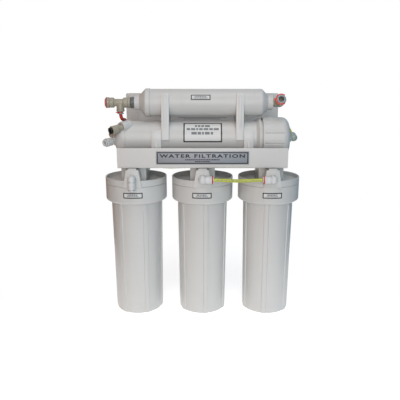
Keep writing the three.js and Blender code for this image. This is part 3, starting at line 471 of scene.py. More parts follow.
class Workpiece:
    """Closed solids in millimetres that become one object."""

    def __init__(self):
        self.points = []
        self.faces = []

    def rings(self, rings, closed):
        """Joins rings of points. An end ring of one point is a tip, and closed joins last to first."""
        starts = []
        for ring in rings:
            starts.append(len(self.points))
            self.points.extend(ring)
        pairs = list(zip(range(len(rings) - 1), range(1, len(rings))))
        if closed:
            pairs.append((len(rings) - 1, 0))
        for a, b in pairs:
            size = max(len(rings[a]), len(rings[b]))
            for k in range(size):
                n = (k + 1) % size
                if len(rings[a]) == 1:
                    self.faces.append((starts[a], starts[b] + k, starts[b] + n))
                elif len(rings[b]) == 1:
                    self.faces.append((starts[a] + n, starts[a] + k, starts[b]))
                else:
                    self.faces.append((starts[a] + n, starts[a] + k, starts[b] + k, starts[b] + n))
        return self

    def turn(self, outline, origin, direction, sides=72):
        """Turns an outline of (radius, distance along) about an axis."""
        direction = Vector(direction).normalized()
        side = any_side(direction)
        other = direction.cross(side)
        origin = Vector(origin)
        rings = []
        for radius, along in outline:
            centre = origin + direction * along
            if radius <= 1e-6:
                rings.append([centre])
                continue
            ring = []
            for k in range(sides):
                angle = 2 * math.pi * k / sides
                ring.append(centre + (side * math.cos(angle) + other * math.sin(angle)) * radius)
            rings.append(ring)
        return self.rings(rings, closed=len(rings[0]) > 1)

    def extrude(self, outline, origin, across, up, along, length):
        """Pushes an outline in the plane of across and up along a direction."""
        origin = Vector(origin)
        low = len(self.points)
        count = len(outline)
        for shift in (0.0, length):
            for u, v in outline:
                self.points.append(origin + across * u + up * v + along * shift)
        self.faces.append(tuple(range(low, low + count)))
        self.faces.append(tuple(range(low + 2 * count - 1, low + count - 1, -1)))
        for k in range(count):
            n = (k + 1) % count
            self.faces.append((low + n, low + k, low + count + k, low + count + n))
        return self

    def block(self, low, high):
        outline = [(low[0], low[1]), (high[0], low[1]), (high[0], high[1]), (low[0], high[1])]
        return self.extrude(outline, (0, 0, low[2]), X, Y, Z, high[2] - low[2])

    def sweep(self, route, radius, sides=20):
        """A round bar along a route, with flat ends."""
        directions = []
        for i in range(len(route)):
            before = route[max(i - 1, 0)]
            after = route[min(i + 1, len(route) - 1)]
            directions.append((after - before).normalized())
        side = any_side(directions[0])
        rings = [[route[0]]]
        for spot, direction in zip(route, directions):
            side = (side - direction * side.dot(direction)).normalized()
            other = direction.cross(side)
            ring = []
            for k in range(sides):
                angle = 2 * math.pi * k / sides
                ring.append(spot + (side * math.cos(angle) + other * math.sin(angle)) * radius)
            rings.append(ring)
        rings.append([route[-1]])
        return self.rings(rings, closed=False)

    def finish(self, name, material, body="frame", slot="white_plastic", replaces=(), soften=0.0):
        """Makes the object, softens its sharp edges and hands it to the frame."""
        mesh = bpy.data.meshes.new(name)
        build = bmesh.new()
        corners = [build.verts.new(Vector(p) * MM) for p in self.points]
        for face in self.faces:
            build.faces.new([corners[i] for i in face])
        bmesh.ops.remove_doubles(build, verts=build.verts, dist=1e-6)
        bmesh.ops.recalc_face_normals(build, faces=build.faces)
        if soften > 0:
            soften_edges(build, 32, soften)
            bmesh.ops.recalc_face_normals(build, faces=build.faces)
        shade(build)
        build.to_mesh(mesh)
        build.free()
        mesh.materials.append(material)
        made = bpy.data.objects.new(name, mesh)
        bpy.context.scene.collection.objects.link(made)
        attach(made, body)
        if replaces:
            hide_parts(*replaces)
        return made


# %% [markdown]
# ## Floor
# A pale, even floor that glows a little, like a light table, so it runs into the backdrop with no line.
# It is not attached to any body, so it isn't part of the unit.

# %% Floor
def make_floor():
    half = 430.0
    outline = [(-half, -half), (half, -half), (half, half), (-half, half)]
    mesh = bpy.data.meshes.new("pale_floor")
    mesh.from_pydata([(x * MM, y * MM, -0.0003) for x, y in outline], [], [(0, 1, 2, 3)])
    finish = Finish("pale_floor", roughness=0.8)
    tone = finish.noise(3.0, 2.0)
    finish.colour(finish.blend(tone, rgb(0.90, 0.90, 0.90), rgb(0.94, 0.94, 0.94)))
    finish.feed(finish.shader.inputs["Emission Color"], (1.0, 1.0, 1.0, 1.0))
    finish.feed(finish.shader.inputs["Emission Strength"], 0.55)
    mesh.materials.append(finish.material)
    floor = bpy.data.objects.new("pale_floor", mesh)
    bpy.context.scene.collection.objects.link(floor)
    return floor


make_floor()

# %% [markdown]
# ## Sumps
# A sump is a tapered cup with a wide bell that screws up round the head. Six flat ribs run down it for a
# grip wrench. Turning alone can't make ribs, so the cup is built ring by ring: every ring has the same
# stations round it, and at a rib's stations the ring steps out to a flat.

# %% Ribbed sumps
rib_count = 6
rib_half = 4.5
rib_turn = {1: 25.5, 2: 8.0, 3: -9.5}
housing_radius = 59.98


def ribbed_ring(z, radius, proud, turn):
    """One ring of a sump: round, but flat where a rib stands out."""
    points = []
    flat = radius + proud
    foot = math.sqrt(radius ** 2 - (rib_half + 0.35) ** 2)
    rib = [
        (foot, -rib_half - 0.35), (max(foot, flat - 0.5), -rib_half),
        (flat, -rib_half + 0.6), (flat, 0.0),
        (flat, rib_half - 0.6), (max(foot, flat - 0.5), rib_half), (foot, rib_half + 0.35),
    ]
    edge_angle = math.atan2(rib_half + 0.35, foot)
    gap = 2 * math.pi / rib_count - 2 * edge_angle
    for sector in range(rib_count):
        base = math.radians(turn - 90) + sector * 2 * math.pi / rib_count
        for x, y in rib:
            if proud <= 0:
                scale = radius / math.hypot(x, y)
                x, y = x * scale, y * scale
            points.append((
                x * math.cos(base) - y * math.sin(base),
                x * math.sin(base) + y * math.cos(base),
                z,
            ))
        for k in range(1, 10):
            angle = base + edge_angle + gap * k / 10
            points.append((radius * math.cos(angle), radius * math.sin(angle), z))
    return points


def sump_sections(top, shoulder):
    """Height, radius and rib height of every ring, from the middle of the base round to the inside."""
    base, foot_curve, wall_top = 46.5, 2.6, top - 35.8
    sections = []
    for k in range(6):
        angle = math.radians(90 * k / 5)
        sections.append((
            foot_curve * (1 - math.cos(angle)),
            base - foot_curve * (1 - math.sin(angle)),
            1.4 * math.sin(angle),
        ))
    for k in range(1, 6):
        share = k / 5
        sections.append((foot_curve + (wall_top - 1.2 - foot_curve) * share, base + 2.5 * share, 1.4))
    sections.append((wall_top + 0.2, 50.2, 0.0))
    start, control = Vector((51.0, wall_top + 0.4)), Vector((housing_radius, wall_top + 2.4))
    end = Vector((housing_radius, wall_top + 6.6))
    for k in range(9):
        t = k / 8
        spot = start * (1 - t) ** 2 + control * 2 * t * (1 - t) + end * t ** 2
        sections.append((spot.y, spot.x, 0.0))
    sections += [
        (top - 0.7, housing_radius, 0.0), (top - 0.2, 59.8, 0.0), (top, 59.3, 0.0),
        (top, 55.1, 0.0), (top - 0.6, 54.5, 0.0), (shoulder, 54.5, 0.0),
        (shoulder, 45.2, 0.0), (8.0, 42.7, 0.0), (5.2, 41.6, 0.0), (4.5, 39.0, 0.0),
    ]
    return sections


def make_sump(number):
    low, high = box_mm(f"sump_{number}")
    shoulder = box_mm(f"sump_oring_{number}")[0].z - 0.5
    x = (low.x + high.x) / 2
    work = Workpiece()
    rings = [[Vector((x, 0, 0))]]
    for z, radius, proud in sump_sections(high.z, shoulder):
        ring = ribbed_ring(z, radius, proud, rib_turn[number])
        rings.append([Vector((px + x, py, pz)) for px, py, pz in ring])
    rings.append([Vector((x, 0, 4.5))])
    work.rings(rings, closed=False)
    work.turn([(0, 4.4), (12.4, 4.4), (12.4, 8.1), (12.0, 8.5), (0, 8.5)], (x, 0, 0), Z, 32)
    body = f"sump_{number}"
    return work.finish(f"{body}_ribbed_cup", white, body, replaces=[body])


for housing in (1, 2, 3):
    made = make_sump(housing)
    print(made.name, len(made.data.polygons), "faces")

# %% [markdown]
# ## Heads
# The head is a dished cap. Its rim stands up round a hollow, a square tower carries it on the shelf, and
# a bar wider at its foot holds both ports. Below hangs the skirt with the screw thread, seen only when a
# sump is being taken off. Each of these is a plain closed solid, and together they make one moulding.

# %% Heads
def thread(work, x, radius, bottom, top, pitch=6.0, height=0.55):
    """A raised helical ridge round a skirt."""
    steps_per_turn = 60
    steps = int((top - bottom - pitch / 2) / pitch * steps_per_turn)
    rings = []
    for k in range(steps + 1):
        angle = 2 * math.pi * k / steps_per_turn
        z = bottom + pitch * k / steps_per_turn
        fade = min(1.0, 8 * k / steps, 8 * (steps - k) / steps)
        ring = []
        for reach, lift in ((-0.4, -1.0), (height * fade, -0.4), (height * fade, 0.4), (-0.4, 1.0)):
            r = radius + reach
            ring.append(Vector((x + r * math.cos(angle), r * math.sin(angle), z + 1.2 + lift)))
        rings.append(ring)
    middle_first = sum(rings[0], Vector()) / 4
    middle_last = sum(rings[-1], Vector()) / 4
    work.rings([[middle_first], *rings, [middle_last]], closed=False)


def make_head(number):
    low, high = box_mm(f"head_{number}")
    x = (low.x + high.x) / 2
    sump_top = box_mm(f"sump_{number}")[1].z
    bottom = sump_top + 0.4
    rim = bottom + 12.5
    deck = bottom + 4.0
    skirt, skirt_inner, spigot = 53.5, 50.0, 12.4
    work = Workpiece()
    outline = profile([
        (0, low.z + 11.0, 0), (8.4, low.z + 11.0, 0.4),
        (spigot, low.z + 11.0, 0.6), (spigot, bottom, 1.0),
        (skirt_inner, bottom, 1.0), (skirt_inner, low.z, 0.5), (skirt, low.z, 0.8), (skirt, bottom, 0.4),
        (housing_radius, bottom, 0.7), (housing_radius, rim, 1.1), (housing_radius - 2.6, rim, 1.1),
        (housing_radius - 3.0, deck, 3.0), (0, deck, 0),
    ])
    work.turn(outline, (x, 0, 0), Z, 96)
    thread(work, x, skirt, low.z + 2.0, bottom - 3.0)
    work.block((x - 23.5, -35.0, deck - 1.0), (x + 23.5, 35.0, high.z))
    reach = housing_radius + 1.0
    bar = [(-17.5, bottom), (17.5, bottom), (11.5, rim + 20.6), (-11.5, rim + 20.6)]
    work.extrude(bar, (x, -reach, 0), X, Z, Y, 2 * reach)
    port_z = rim + 4.5
    for side in (-1, 1):
        boss = profile([
            (0, 40.0, 0), (10.4, 40.0, 0), (10.4, 61.6, 0.5),
            (7.4, 62.0, 0.4), (6.9, 61.0, 0.3), (0, 61.0, 0),
        ])
        work.turn(boss, (x, 0, port_z), (0, side, 0), 40)
        pad_y = side * 56.4
        work.block((x - 8.0, pad_y - 4.0, rim + 20.0), (x + 8.0, pad_y + 4.0, high.z))
    return work.finish(f"head_{number}_dished_cap", white, replaces=[f"head_{number}"], soften=0.7)


for housing in (1, 2, 3):
    made = make_head(housing)
    print(made.name, len(made.data.polygons), "faces")

# %% [markdown]
# ## Bracket
# One sheet of two millimetre steel is folded into a channel: a low lip in front, a shelf, and a tall back
# plate with two keyholes. The fold is extruded from its side outline. The corners and keyholes are cut
# with boolean tools, because they cross the outline's direction.

# %% Bracket
def cut_with(target, cutter):
    """Subtracts a closed object from another and deletes the tool."""
    modifier = target.modifiers.new("cut", "BOOLEAN")
    modifier.operation = "DIFFERENCE"
    modifier.solver = "EXACT"
    modifier.object = cutter
    depsgraph = bpy.context.evaluated_depsgraph_get()
    mesh = bpy.data.meshes.new_from_object(target.evaluated_get(depsgraph))
    target.modifiers.clear()
    old = target.data
    target.data = mesh
    mesh.name = old.name
    bpy.data.meshes.remove(old)
    bpy.data.objects.remove(cutter)


def loose_object(name, work):
    """A plain object for use as a tool."""
    mesh = bpy.data.meshes.new(name)
    mesh.from_pydata([tuple(Vector(p) * MM) for p in work.points], [], work.faces)
    build = bmesh.new()
    build.from_mesh(mesh)
    bmesh.ops.recalc_face_normals(build, faces=build.faces)
    build.to_mesh(mesh)
    build.free()
    tool = bpy.data.objects.new(name, mesh)
    bpy.context.scene.collection.objects.link(tool)
    return tool


def bracket_fold(low, high, lip_top, sheet=2.0, bend=5.0):
    """The side outline of the channel, in Y and Z."""
    front, back, floor = low.y, high.y, low.z
    inner = bend - sheet
    return [
        (front, lip_top), *arc((front + bend, floor + bend), bend, 180, 270, 8),
        *arc((back - bend, floor + bend), bend, 270, 360, 8), (back, high.z), (back - sheet, high.z),
        *arc((back - bend, floor + bend), inner, 360, 270, 8),
        *arc((front + bend, floor + bend), inner, 270, 180, 8), (front + sheet, lip_top),
    ]


def make_bracket():
    low, high = box_mm("bracket")
    lip_top = low.z + 38.0
    fold = bracket_fold(low, high, lip_top)
    blank = Workpiece().extrude(fold, (low.x, 0, 0), Y, Z, X, high.x - low.x)
    made = blank.finish("bracket_folded_channel", coated_steel, slot="powder_coat", replaces=["bracket"])
    cutter = Workpiece()
    corner = 4.0
    for side, end in ((-1, low.x), (1, high.x)):
        centre = end - side * corner
        angles = (180, 90) if side < 0 else (0, 90)
        curve = arc((centre, high.z - corner), corner, *angles, 8)
        side_x, top_z = end + side * 3, high.z + 3
        waste = [(side_x, high.z - corner), *curve, (centre, top_z), (side_x, top_z)]
        cutter.extrude(waste, (0, high.y - 4, 0), X, Z, Y, 8)
        hole_x, hole_z = side * 120.0, high.z - 30.0
        slot_top = arc((hole_x, hole_z + 10), 2.6, 0, 180, 10)
        slot_foot = math.degrees(math.asin(2.6 / 5.5))
        round_part = arc((hole_x, hole_z), 5.5, 90 + slot_foot, 450 - slot_foot, 28)
        cutter.extrude([*round_part, *slot_top], (0, high.y - 4, 0), X, Z, Y, 8)
    cut_with(made, loose_object("bracket_cutter", cutter))
    build = bmesh.new()
    build.from_mesh(made.data)
    soften_edges(build, 60, 0.35)
    shade(build)
    build.to_mesh(made.data)
    build.free()
    return made


bracket = make_bracket()
print(bracket.name, len(bracket.data.polygons), "faces")

# %% [markdown]
# ## Shelf screws
# Each head hangs from the shelf by four pan-head screws, and the two at the back are made here. They are
# seen only from above and behind, but without them the heads would have nothing to hold on to.

# %% Shelf screws
def make_screw(name, place):
    head = profile([(0, 0.1, 0), (3.9, 0.1, 0.3), (3.9, 1.2, 0.8), (2.2, 2.6, 1.0), (0, 2.8, 0)])
    work = Workpiece().turn(head, place, Z, 28)
    made = work.finish(name, silver_plate, slot="nameplate_metal")
    cutter = Workpiece()
    x, y, z = place
    cutter.block((x - 2.6, y - 0.45, z + 1.5), (x + 2.6, y + 0.45, z + 4))
    cut_with(made, loose_object(f"{name}_slot", cutter))
    return made


shelf_top = box_mm("bracket")[0].z + 2.0
screw_places = []
for housing in (1, 2, 3):
    head_x = middle_mm(f"head_{housing}").x
    for dx in (-15.0, 15.0):
        screw_places.append((head_x + dx, 30.0, shelf_top))
for count, place in enumerate(screw_places, start=1):
    make_screw(f"shelf_screw_{count}", place)
print(len(screw_places), "shelf screws")

# %% [markdown]
# ## Nameplate
# A silver plate with a dark inset line sits on the lip. Its words are generic and only say what the thing
# does. They are real letters, a fifth of a millimetre thick, with two rows of small dashes below.

# %% Nameplate
def frame_outline(work, x0, x1, z0, z1, y, width, thickness):
    """A flat rectangular line, made of four bars."""
    work.block((x0, y - thickness, z1 - width), (x1, y, z1))
    work.block((x0, y - thickness, z0), (x1, y, z0 + width))
    work.block((x0, y - thickness, z0 + width), (x0 + width, y, z1 - width))
    work.block((x1 - width, y - thickness, z0 + width), (x1, y, z1 - width))
    return work


def dash_spans(seed, start, end):
    """Short dashes of chance length, as (from, to) pairs, that stand for a row of fine print."""
    chance = random.Random(seed)
    spans = []
    while start < end:
        length = chance.uniform(1.2, 3.6)
        spans.append((start, min(start + length, end)))
        start += length + 0.7
    return spans


def make_words(name, words, size, width, place, thickness, material):
    """Flat bold letters that face the front, drawn out to a width in millimetres."""
    data = bpy.data.curves.new(name, "FONT")
    data.body = words
    data.size = size * MM
    data.space_character = 1.25
    data.align_x = "CENTER"
    data.align_y = "CENTER"
    data.extrude = thickness / 2 * MM
    data.offset = 0.040 * size * MM
    data.resolution_u = 6
    text = bpy.data.objects.new(name, data)
    bpy.context.scene.collection.objects.link(text)
    text.rotation_euler = (math.radians(90), 0, 0)
    bpy.context.view_layer.update()
    text.scale.x = width * MM / text.dimensions.x
    text.location = Vector(place) * MM
    bpy.context.view_layer.update()
    mesh = bpy.data.meshes.new_from_object(text.evaluated_get(bpy.context.evaluated_depsgraph_get()))
    mesh.transform(text.matrix_world)
    bpy.data.objects.remove(text)
    mesh.materials.clear()
    mesh.materials.append(material)
    letters = bpy.data.objects.new(name, mesh)
    bpy.context.scene.collection.objects.link(letters)
    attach(letters, "frame")
    return letters


def make_nameplate():
    low, high = box_mm("nameplate")
    slot = "nameplate_metal"
    plate = Workpiece().block(tuple(low), tuple(high))
    plate.finish("nameplate_panel", silver_plate, slot=slot, replaces=["nameplate"], soften=0.25)
    face = low.y - 0.02
    line = Workpiece()
    frame_outline(line, low.x + 1.5, high.x - 1.5, low.z + 1.2, high.z - 1.2, face, 1.9, 0.12)
    line.finish("nameplate_border", black_ink, slot=slot)
    middle = (low + high) / 2
    title_place = (middle.x, face - 0.06, middle.z + 3.4)
    make_words("nameplate_title", "WATER FILTRATION", 8.6, 157.0, title_place, 0.12, black_ink)
    print_lines = Workpiece()
    for row, (half, z) in enumerate(((32.0, -3.2), (14.0, -6.6))):
        z0 = middle.z + z - 1.0
        for x0, x1 in dash_spans(11 + row, middle.x - half, middle.x + half):
            print_lines.block((x0, face - 0.12, z0), (x1, face, z0 + 1.9))
    print_lines.finish("nameplate_small_print", black_ink, slot=slot)


make_nameplate()

# %% [markdown]
# ## Curved labels
# The stickers follow the round walls they are stuck on. A bent patch is a thin closed shell between two
# radii, and three of them make a label: a black edge, a white field and the dashes of its print.

# %% Labels on round walls
def bent_patch(work, axis_point, axis, radius, thickness, a0, a1, s0, s1, steps=16):
    """A thin patch on a cylinder: angles in degrees from the front, s along the axis."""
    axis_point = Vector(axis_point)
    front = Vector((0, -1, 0))
    side = Vector(axis).cross(front)
    rings = []
    for k in range(steps + 1):
        angle = math.radians(a0 + (a1 - a0) * k / steps)
        out = front * math.cos(angle) + side * math.sin(angle)
        near = axis_point + out * radius
        far = axis_point + out * (radius + thickness)
        rings.append([near + axis * s0, far + axis * s0, far + axis * s1, near + axis * s1])
    first = len(work.points)
    for ring in rings:
        work.points.extend(ring)
    for k in range(steps):
        a = first + 4 * k
        for j in range(4):
            n = (j + 1) % 4
            work.faces.append((a + j, a + n, a + 4 + n, a + 4 + j))
    last = first + 4 * steps
    work.faces.append((first + 3, first + 2, first + 1, first))
    work.faces.append((last, last + 1, last + 2, last + 3))


def make_label(name, wall, half_size, middle, edge, body, rows, seed):
    """The wall is an axis and a radius, and the half size and middle are given around it and along it."""
    axis_point, axis, radius = wall
    around, along = half_size
    centre_angle, centre_along = middle
    to_angle = math.degrees(1 / radius)
    layers = (("edge", black_ink, 0.0, 0.05), ("field", label_vinyl, edge, 0.10))
    for part, material, inset, lift in layers:
        work = Workpiece()
        half_angle = (around - inset) * to_angle
        bent_patch(work, axis_point, axis, radius + 0.02, lift, centre_angle - half_angle,
                   centre_angle + half_angle, centre_along - along + inset, centre_along + along - inset)
        work.finish(f"{name}_{part}", material, body)
    work = Workpiece()
    upright = axis == Z
    chance = random.Random(seed)
    for offset, half, height in rows:
        spot = -half
        while spot < half:
            length = min(chance.uniform(1.0, 3.0) * height / 1.4, half - spot)
            if upright:
                ends = (centre_angle + spot * to_angle, centre_angle + (spot + length) * to_angle,
                        centre_along + offset - height / 2, centre_along + offset + height / 2)
            else:
                ends = (centre_angle + (offset - height / 2) * to_angle,
                        centre_angle + (offset + height / 2) * to_angle,
                        centre_along + spot, centre_along + spot + length)
            bent_patch(work, axis_point, axis, radius + 0.05, 0.12, *ends, steps=4)
            spot += length + 0.35 * height
    work.finish(f"{name}_print", grey_ink, body)


label_shift = {1: 0.0, 2: -1.0, 3: 0.5}
for housing in (1, 2, 3):
    centre_x = middle_mm(f"sump_{housing}").x
    label_z = box_mm(f"sump_{housing}")[1].z - 15.4
    make_label(
        f"sump_{housing}_label", ((centre_x, 0, 0), Z, housing_radius), (18.5, 5.5),
        (label_shift[housing], label_z), 1.9, f"sump_{housing}", ((1.4, 9.5, 2.2), (-1.7, 11.0, 1.7)),
        20 + housing,
    )
print("sump labels made")

# %% [markdown]
# ## Membrane housing
# The long pipe holds the membrane. Its left end is a dome with two slanted ports, and its right end
# flares into a collar where the cap screws on. The pipe is turned, the ports are short turned bosses that
# run into the dome.

# %% Membrane housing
membrane_axis = middle_mm("membrane_cap")
membrane_axis.x = 0.0
membrane_radius = 32.0
membrane_left = -165.0
membrane_seam = -145.0
collar_x = box_mm("membrane_cap")[0].x - 3.0
neck_end = box_mm("membrane_housing")[1].x
side_ports = {
    "drain": (membrane_axis + Vector((-150.0, -25.0, 21.9)), Vector((-0.74, -0.64, -0.2)).normalized()),
    "flush": (membrane_axis + Vector((-165.5, -12.0, -4.1)), Vector((-0.64, -0.76, -0.09)).normalized()),
}


def make_membrane_housing():
    work = Workpiece()
    dome = []
    start, end = Vector((16.5, membrane_left)), Vector((membrane_radius, membrane_seam))
    control = Vector((membrane_radius, membrane_left + 1.6))
    for k in range(13):
        t = k / 12
        spot = start * (1 - t) ** 2 + control * 2 * t * (1 - t) + end * t ** 2
        dome.append((spot.x, spot.y))
    pipe = profile([
        (membrane_radius, membrane_seam + 0.2, 0), (31.6, membrane_seam + 0.5, 0),
        (31.6, membrane_seam + 1.1, 0), (membrane_radius, membrane_seam + 1.4, 0),
        (membrane_radius, collar_x - 9, 2.0), (38, collar_x - 3.4, 1.5), (38, collar_x, 0.8),
        (34, collar_x, 0.4), (34, neck_end, 0.8), (29, neck_end, 0.5), (29, membrane_seam + 3, 2.0),
        (12, membrane_left + 17, 2.0), (0, membrane_left + 17, 0),
    ])
    work.turn([(0, membrane_left), (14.0, membrane_left), (15.6, membrane_left + 0.3), *dome, *pipe],
              membrane_axis, X, 96)
    for face, flow in side_ports.values():
        boss = profile([
            (0, -18, 0), (10, -18, 0), (10, 0, 0.8), (6.4, 0, 0.3), (6.0, -0.8, 0.3), (0, -0.8, 0),
        ])
        work.turn(boss, face, flow, 40)
    return work.finish("membrane_housing_pipe", white, replaces=["membrane_housing"])


make_membrane_housing()


# %% [markdown]
# ## Membrane cap
# The cap has twelve long finger grooves. As with the ribs, the rings of the turned shape dip at the
# grooves, so the grooves fade out smoothly where the cap rounds over.

# %% Membrane cap
def grooved_ring(x, radius, depth, count=12, phase=0.35):
    points = []
    per_groove = 12
    for k in range(count * per_groove):
        angle = 2 * math.pi * (k / per_groove + phase) / count
        station = k % per_groove
        dip = {0: 1.0, 1: 0.55, per_groove - 1: 0.55}.get(station, 0.0)
        if station in (1, per_groove - 1):
            offset = (1 if station == 1 else -1) * 0.65 * 2 * math.pi / (count * per_groove)
            angle -= offset
        if station in (2, per_groove - 2):
            angle -= (1 if station == 2 else -1) * 1.25 * 2 * math.pi / (count * per_groove)
        r = radius - depth * dip
        points.append(membrane_axis + Vector((x, r * math.cos(angle), r * math.sin(angle))))
    return points


def make_membrane_cap():
    low, high = box_mm("membrane_cap")
    radius = (high.z - low.z) / 2
    corner, face = 15.0, high.x - 2.5
    sections = [(low.x, radius - 0.8, 0.0), (low.x + 0.3, radius - 0.2, 0.0), (low.x + 0.9, radius, 0.0),
                (low.x + 3.5, radius, 0.0), (low.x + 4.2, radius, 1.1)]
    for k in range(1, 6):
        sections.append((low.x + 4.2 + (face - corner - low.x - 3.0) * k / 5, radius, 1.1))
    body_end = face - corner + 1.2
    for k in range(1, 11):
        angle = math.radians(90 * k / 10)
        x = body_end + (face - body_end) * math.sin(angle)
        sections.append((x, radius - corner * (1 - math.cos(angle)), 1.1 if k < 2 else 0.0))
    rings = [grooved_ring(*section) for section in sections]
    rings.append(grooved_ring(face, 9.4, 0.0))
    rings.append(grooved_ring(face + 0.4, 9.0, 0.0))
    rings.append(grooved_ring(high.x - 0.4, 9.0, 0.0))
    rings.append(grooved_ring(high.x, 8.6, 0.0))
    rings.append(grooved_ring(high.x, 6.4, 0.0))
    rings.append(grooved_ring(face - 6.0, 6.4, 0.0))
    rings.append(grooved_ring(face - 6.0, 21.6, 0.0))
    rings.append(grooved_ring(face - 19.0, 34.6, 0.0))
    rings.append(grooved_ring(low.x + 0.6, 34.6, 0.0))
    rings.append(grooved_ring(low.x, 35.2, 0.0))
    work = Workpiece().rings(rings, closed=True)
    return work.finish("membrane_cap_grooved", white, "membrane_cap", replaces=["membrane_cap"])


made = make_membrane_cap()
print(made.name, len(made.data.polygons), "faces")

# %% [markdown]
# ## Inline filter
# A glued-up tube with a cone at each end. The left cone is a separate end cap with a raised band, and a
# short nub at each end takes a threaded fitting. Both are turned, with small radii at every step.

# %% Inline filter
filter_axis = middle_mm("inline_filter_end_cap")
filter_axis.x = 0.0
filter_radius = 25.4


def make_filter_body():
    low, high = box_mm("inline_filter_body")
    cone = high.x - 20.5
    seam = low.x + 6.0
    outline = rounded([
        (21.9, low.x, 0.3), (23.8, low.x, 0.4), (23.8, seam, 0.2),
        (filter_radius, seam, 0.4), (filter_radius, cone, 2.5),
        (14.2, cone + 10.6, 1.5), (13.5, cone + 11.4, 0.8), (13.5, high.x, 0.9), (6.6, high.x, 0.4),
        (6.4, high.x - 9, 0.2), (2.4, high.x - 9.2, 0.2), (2.4, cone + 5.6, 0.3), (9.0, cone + 5.4, 1.0),
        (21.9, cone - 3.5, 1.5),
    ])
    work = Workpiece().turn(outline, filter_axis, X, 80)
    return work.finish("inline_filter_tube", white, replaces=["inline_filter_body"])


def make_filter_cap():
    low, high = box_mm("inline_filter_end_cap")
    band = high.x - 9.1
    cone = band - 11.0
    outline = rounded([
        (6.4, low.x, 0.3), (13.5, low.x, 0.9), (13.5, cone - 0.2, 0.5),
        (14.3, cone + 0.6, 1.2), (25.0, band - 0.4, 2.5),
        (26.4, band + 1.4, 2.4), (26.4, high.x + 0.2, 1.0),
        (24.2, high.x + 0.2, 0.3), (24.2, high.x - 6.4, 1.0),
        (22.2, high.x - 7.4, 1.0), (10.2, cone + 5.6, 1.0),
        (2.4, cone + 5.4, 0.3), (2.4, low.x + 9.2, 0.2),
        (6.4, low.x + 9, 0.2),
    ])
    work = Workpiece().turn(outline, filter_axis, X, 80)
    return work.finish("inline_filter_banded_cap", white, replaces=["inline_filter_end_cap"])


make_filter_body()
make_filter_cap()
make_label(
    "inline_filter_label", (filter_axis, X, filter_radius), (5.2, 18.0), (-25.0, -3.4), 1.8, "frame",
    ((-1.4, 11.0, 2.2), (1.5, 13.0, 1.7)), 31,
)
make_label(
    "membrane_label", (membrane_axis, X, membrane_radius), (20.5, 36.0), (-28.0, 0.4), 2.6, "frame",
    ((-11.5, 14.5, 4.6), (-4.6, 30.0, 4.6), (3.6, 21.0, 5.0)), 32,
)


def make_plate_print():
    """Two faint rows of dashes on the back plate, above the inline filter."""
    face = box_mm("bracket")[1].y - 2.0
    rows = Workpiece()
    for row, (half, z) in enumerate(((50.0, 383.0), (38.0, 380.4))):
        for x0, x1 in dash_spans(41 + row, -half, half):
            rows.block((x0, face - 0.1, z - 0.7), (x1, face + 0.05, z + 0.7))
    rows.finish("back_plate_print", grey_ink, slot="powder_coat")


make_plate_print()
print("labels on the pipes made")

# %% [markdown]
# ## Pipe clips
# Two kinds of snap clip hold the pipes. The saddle stands on the shelf and grips the membrane housing
# from below. The double clip grips both pipes from opposite sides, with a rib down its front. A clip is
# one outline, seen from the end of the pipes, pushed along them.

# %% Pipe clips
pipe_fit = 0.4
clip_wall = 3.2
filter_centre = (filter_axis.y, filter_axis.z)
membrane_centre = (membrane_axis.y, membrane_axis.z)
filter_grip = filter_radius + pipe_fit
membrane_grip = membrane_radius + pipe_fit
front_tangent = 184.0
rear_tangent = -7.5


def double_clip_outline():
    outer_filter = filter_grip + clip_wall
    outer_membrane = membrane_grip + clip_wall
    return [
        *arc(filter_centre, outer_filter, 140, front_tangent, 10),
        *arc(membrane_centre, outer_membrane, 178, 181, 2),
        *arc(membrane_centre, membrane_grip, 181, -1, 32),
        *arc(membrane_centre, outer_membrane, -1, 2, 2),
        *arc(filter_centre, outer_filter, rear_tangent, 40, 10),
        *arc(filter_centre, filter_grip, 40, -220, 40),
    ]


def strap_rib_outline(proud):
    """The rib on the front of the double clip: it follows the filter, then runs straight down."""
    outer = filter_grip + clip_wall + proud
    inner = filter_grip + clip_wall - 1.0
    top = arc(filter_centre, outer, 148, front_tangent, 10)
    last_y, last_z = top[-1]
    drop = last_z - (membrane_centre[1] + 22.0)
    lean = (membrane_grip - filter_grip) / (filter_centre[1] - membrane_centre[1])
    inside = arc(filter_centre, inner, front_tangent, 148, 10)
    inside_y, inside_z = inside[0]
    run = drop * lean + 0.6
    return [*top, (last_y - run, last_z - drop), (inside_y - run, inside_z - drop), *inside]


def saddle_outline(foot_z):
    outer = membrane_grip + clip_wall
    cy = membrane_centre[0]
    return [
        *arc(membrane_centre, outer, 150, 180, 8), (cy - outer, foot_z), (cy + outer, foot_z),
        *arc(membrane_centre, outer, 0, 30, 8), *arc(membrane_centre, membrane_grip, 30, -210, 44),
    ]


def make_clips():
    foot_z = shelf_top + 0.3
    for side in ("left", "right"):
        low, high = box_mm(f"double_clip_{side}")
        x = (low.x + high.x) / 2
        work = Workpiece().extrude(double_clip_outline(), (low.x, 0, 0), Y, Z, X, high.x - low.x)
        for half, proud in ((3.0, 1.1), (2.1, 1.9)):
            work.extrude(strap_rib_outline(proud), (x - half, 0, 0), Y, Z, X, 2 * half)
        node = f"double_clip_{side}"
        work.finish(f"{node}_strap", white_strap, replaces=[node], soften=0.4)
        low, high = box_mm(f"membrane_clip_{side}")
        x = (low.x + high.x) / 2
        work = Workpiece().extrude(saddle_outline(foot_z), (low.x, 0, 0), Y, Z, X, high.x - low.x)
        front = membrane_centre[0] - membrane_grip - clip_wall
        work.block((x - 2.0, front - 1.9, foot_z), (x + 2.0, front + 1.0, membrane_centre[1] - 4.0))
        node = f"membrane_clip_{side}"
        work.finish(f"{node}_saddle", white_strap, replaces=[node], soften=0.4)


make_clips()
print("clips made")

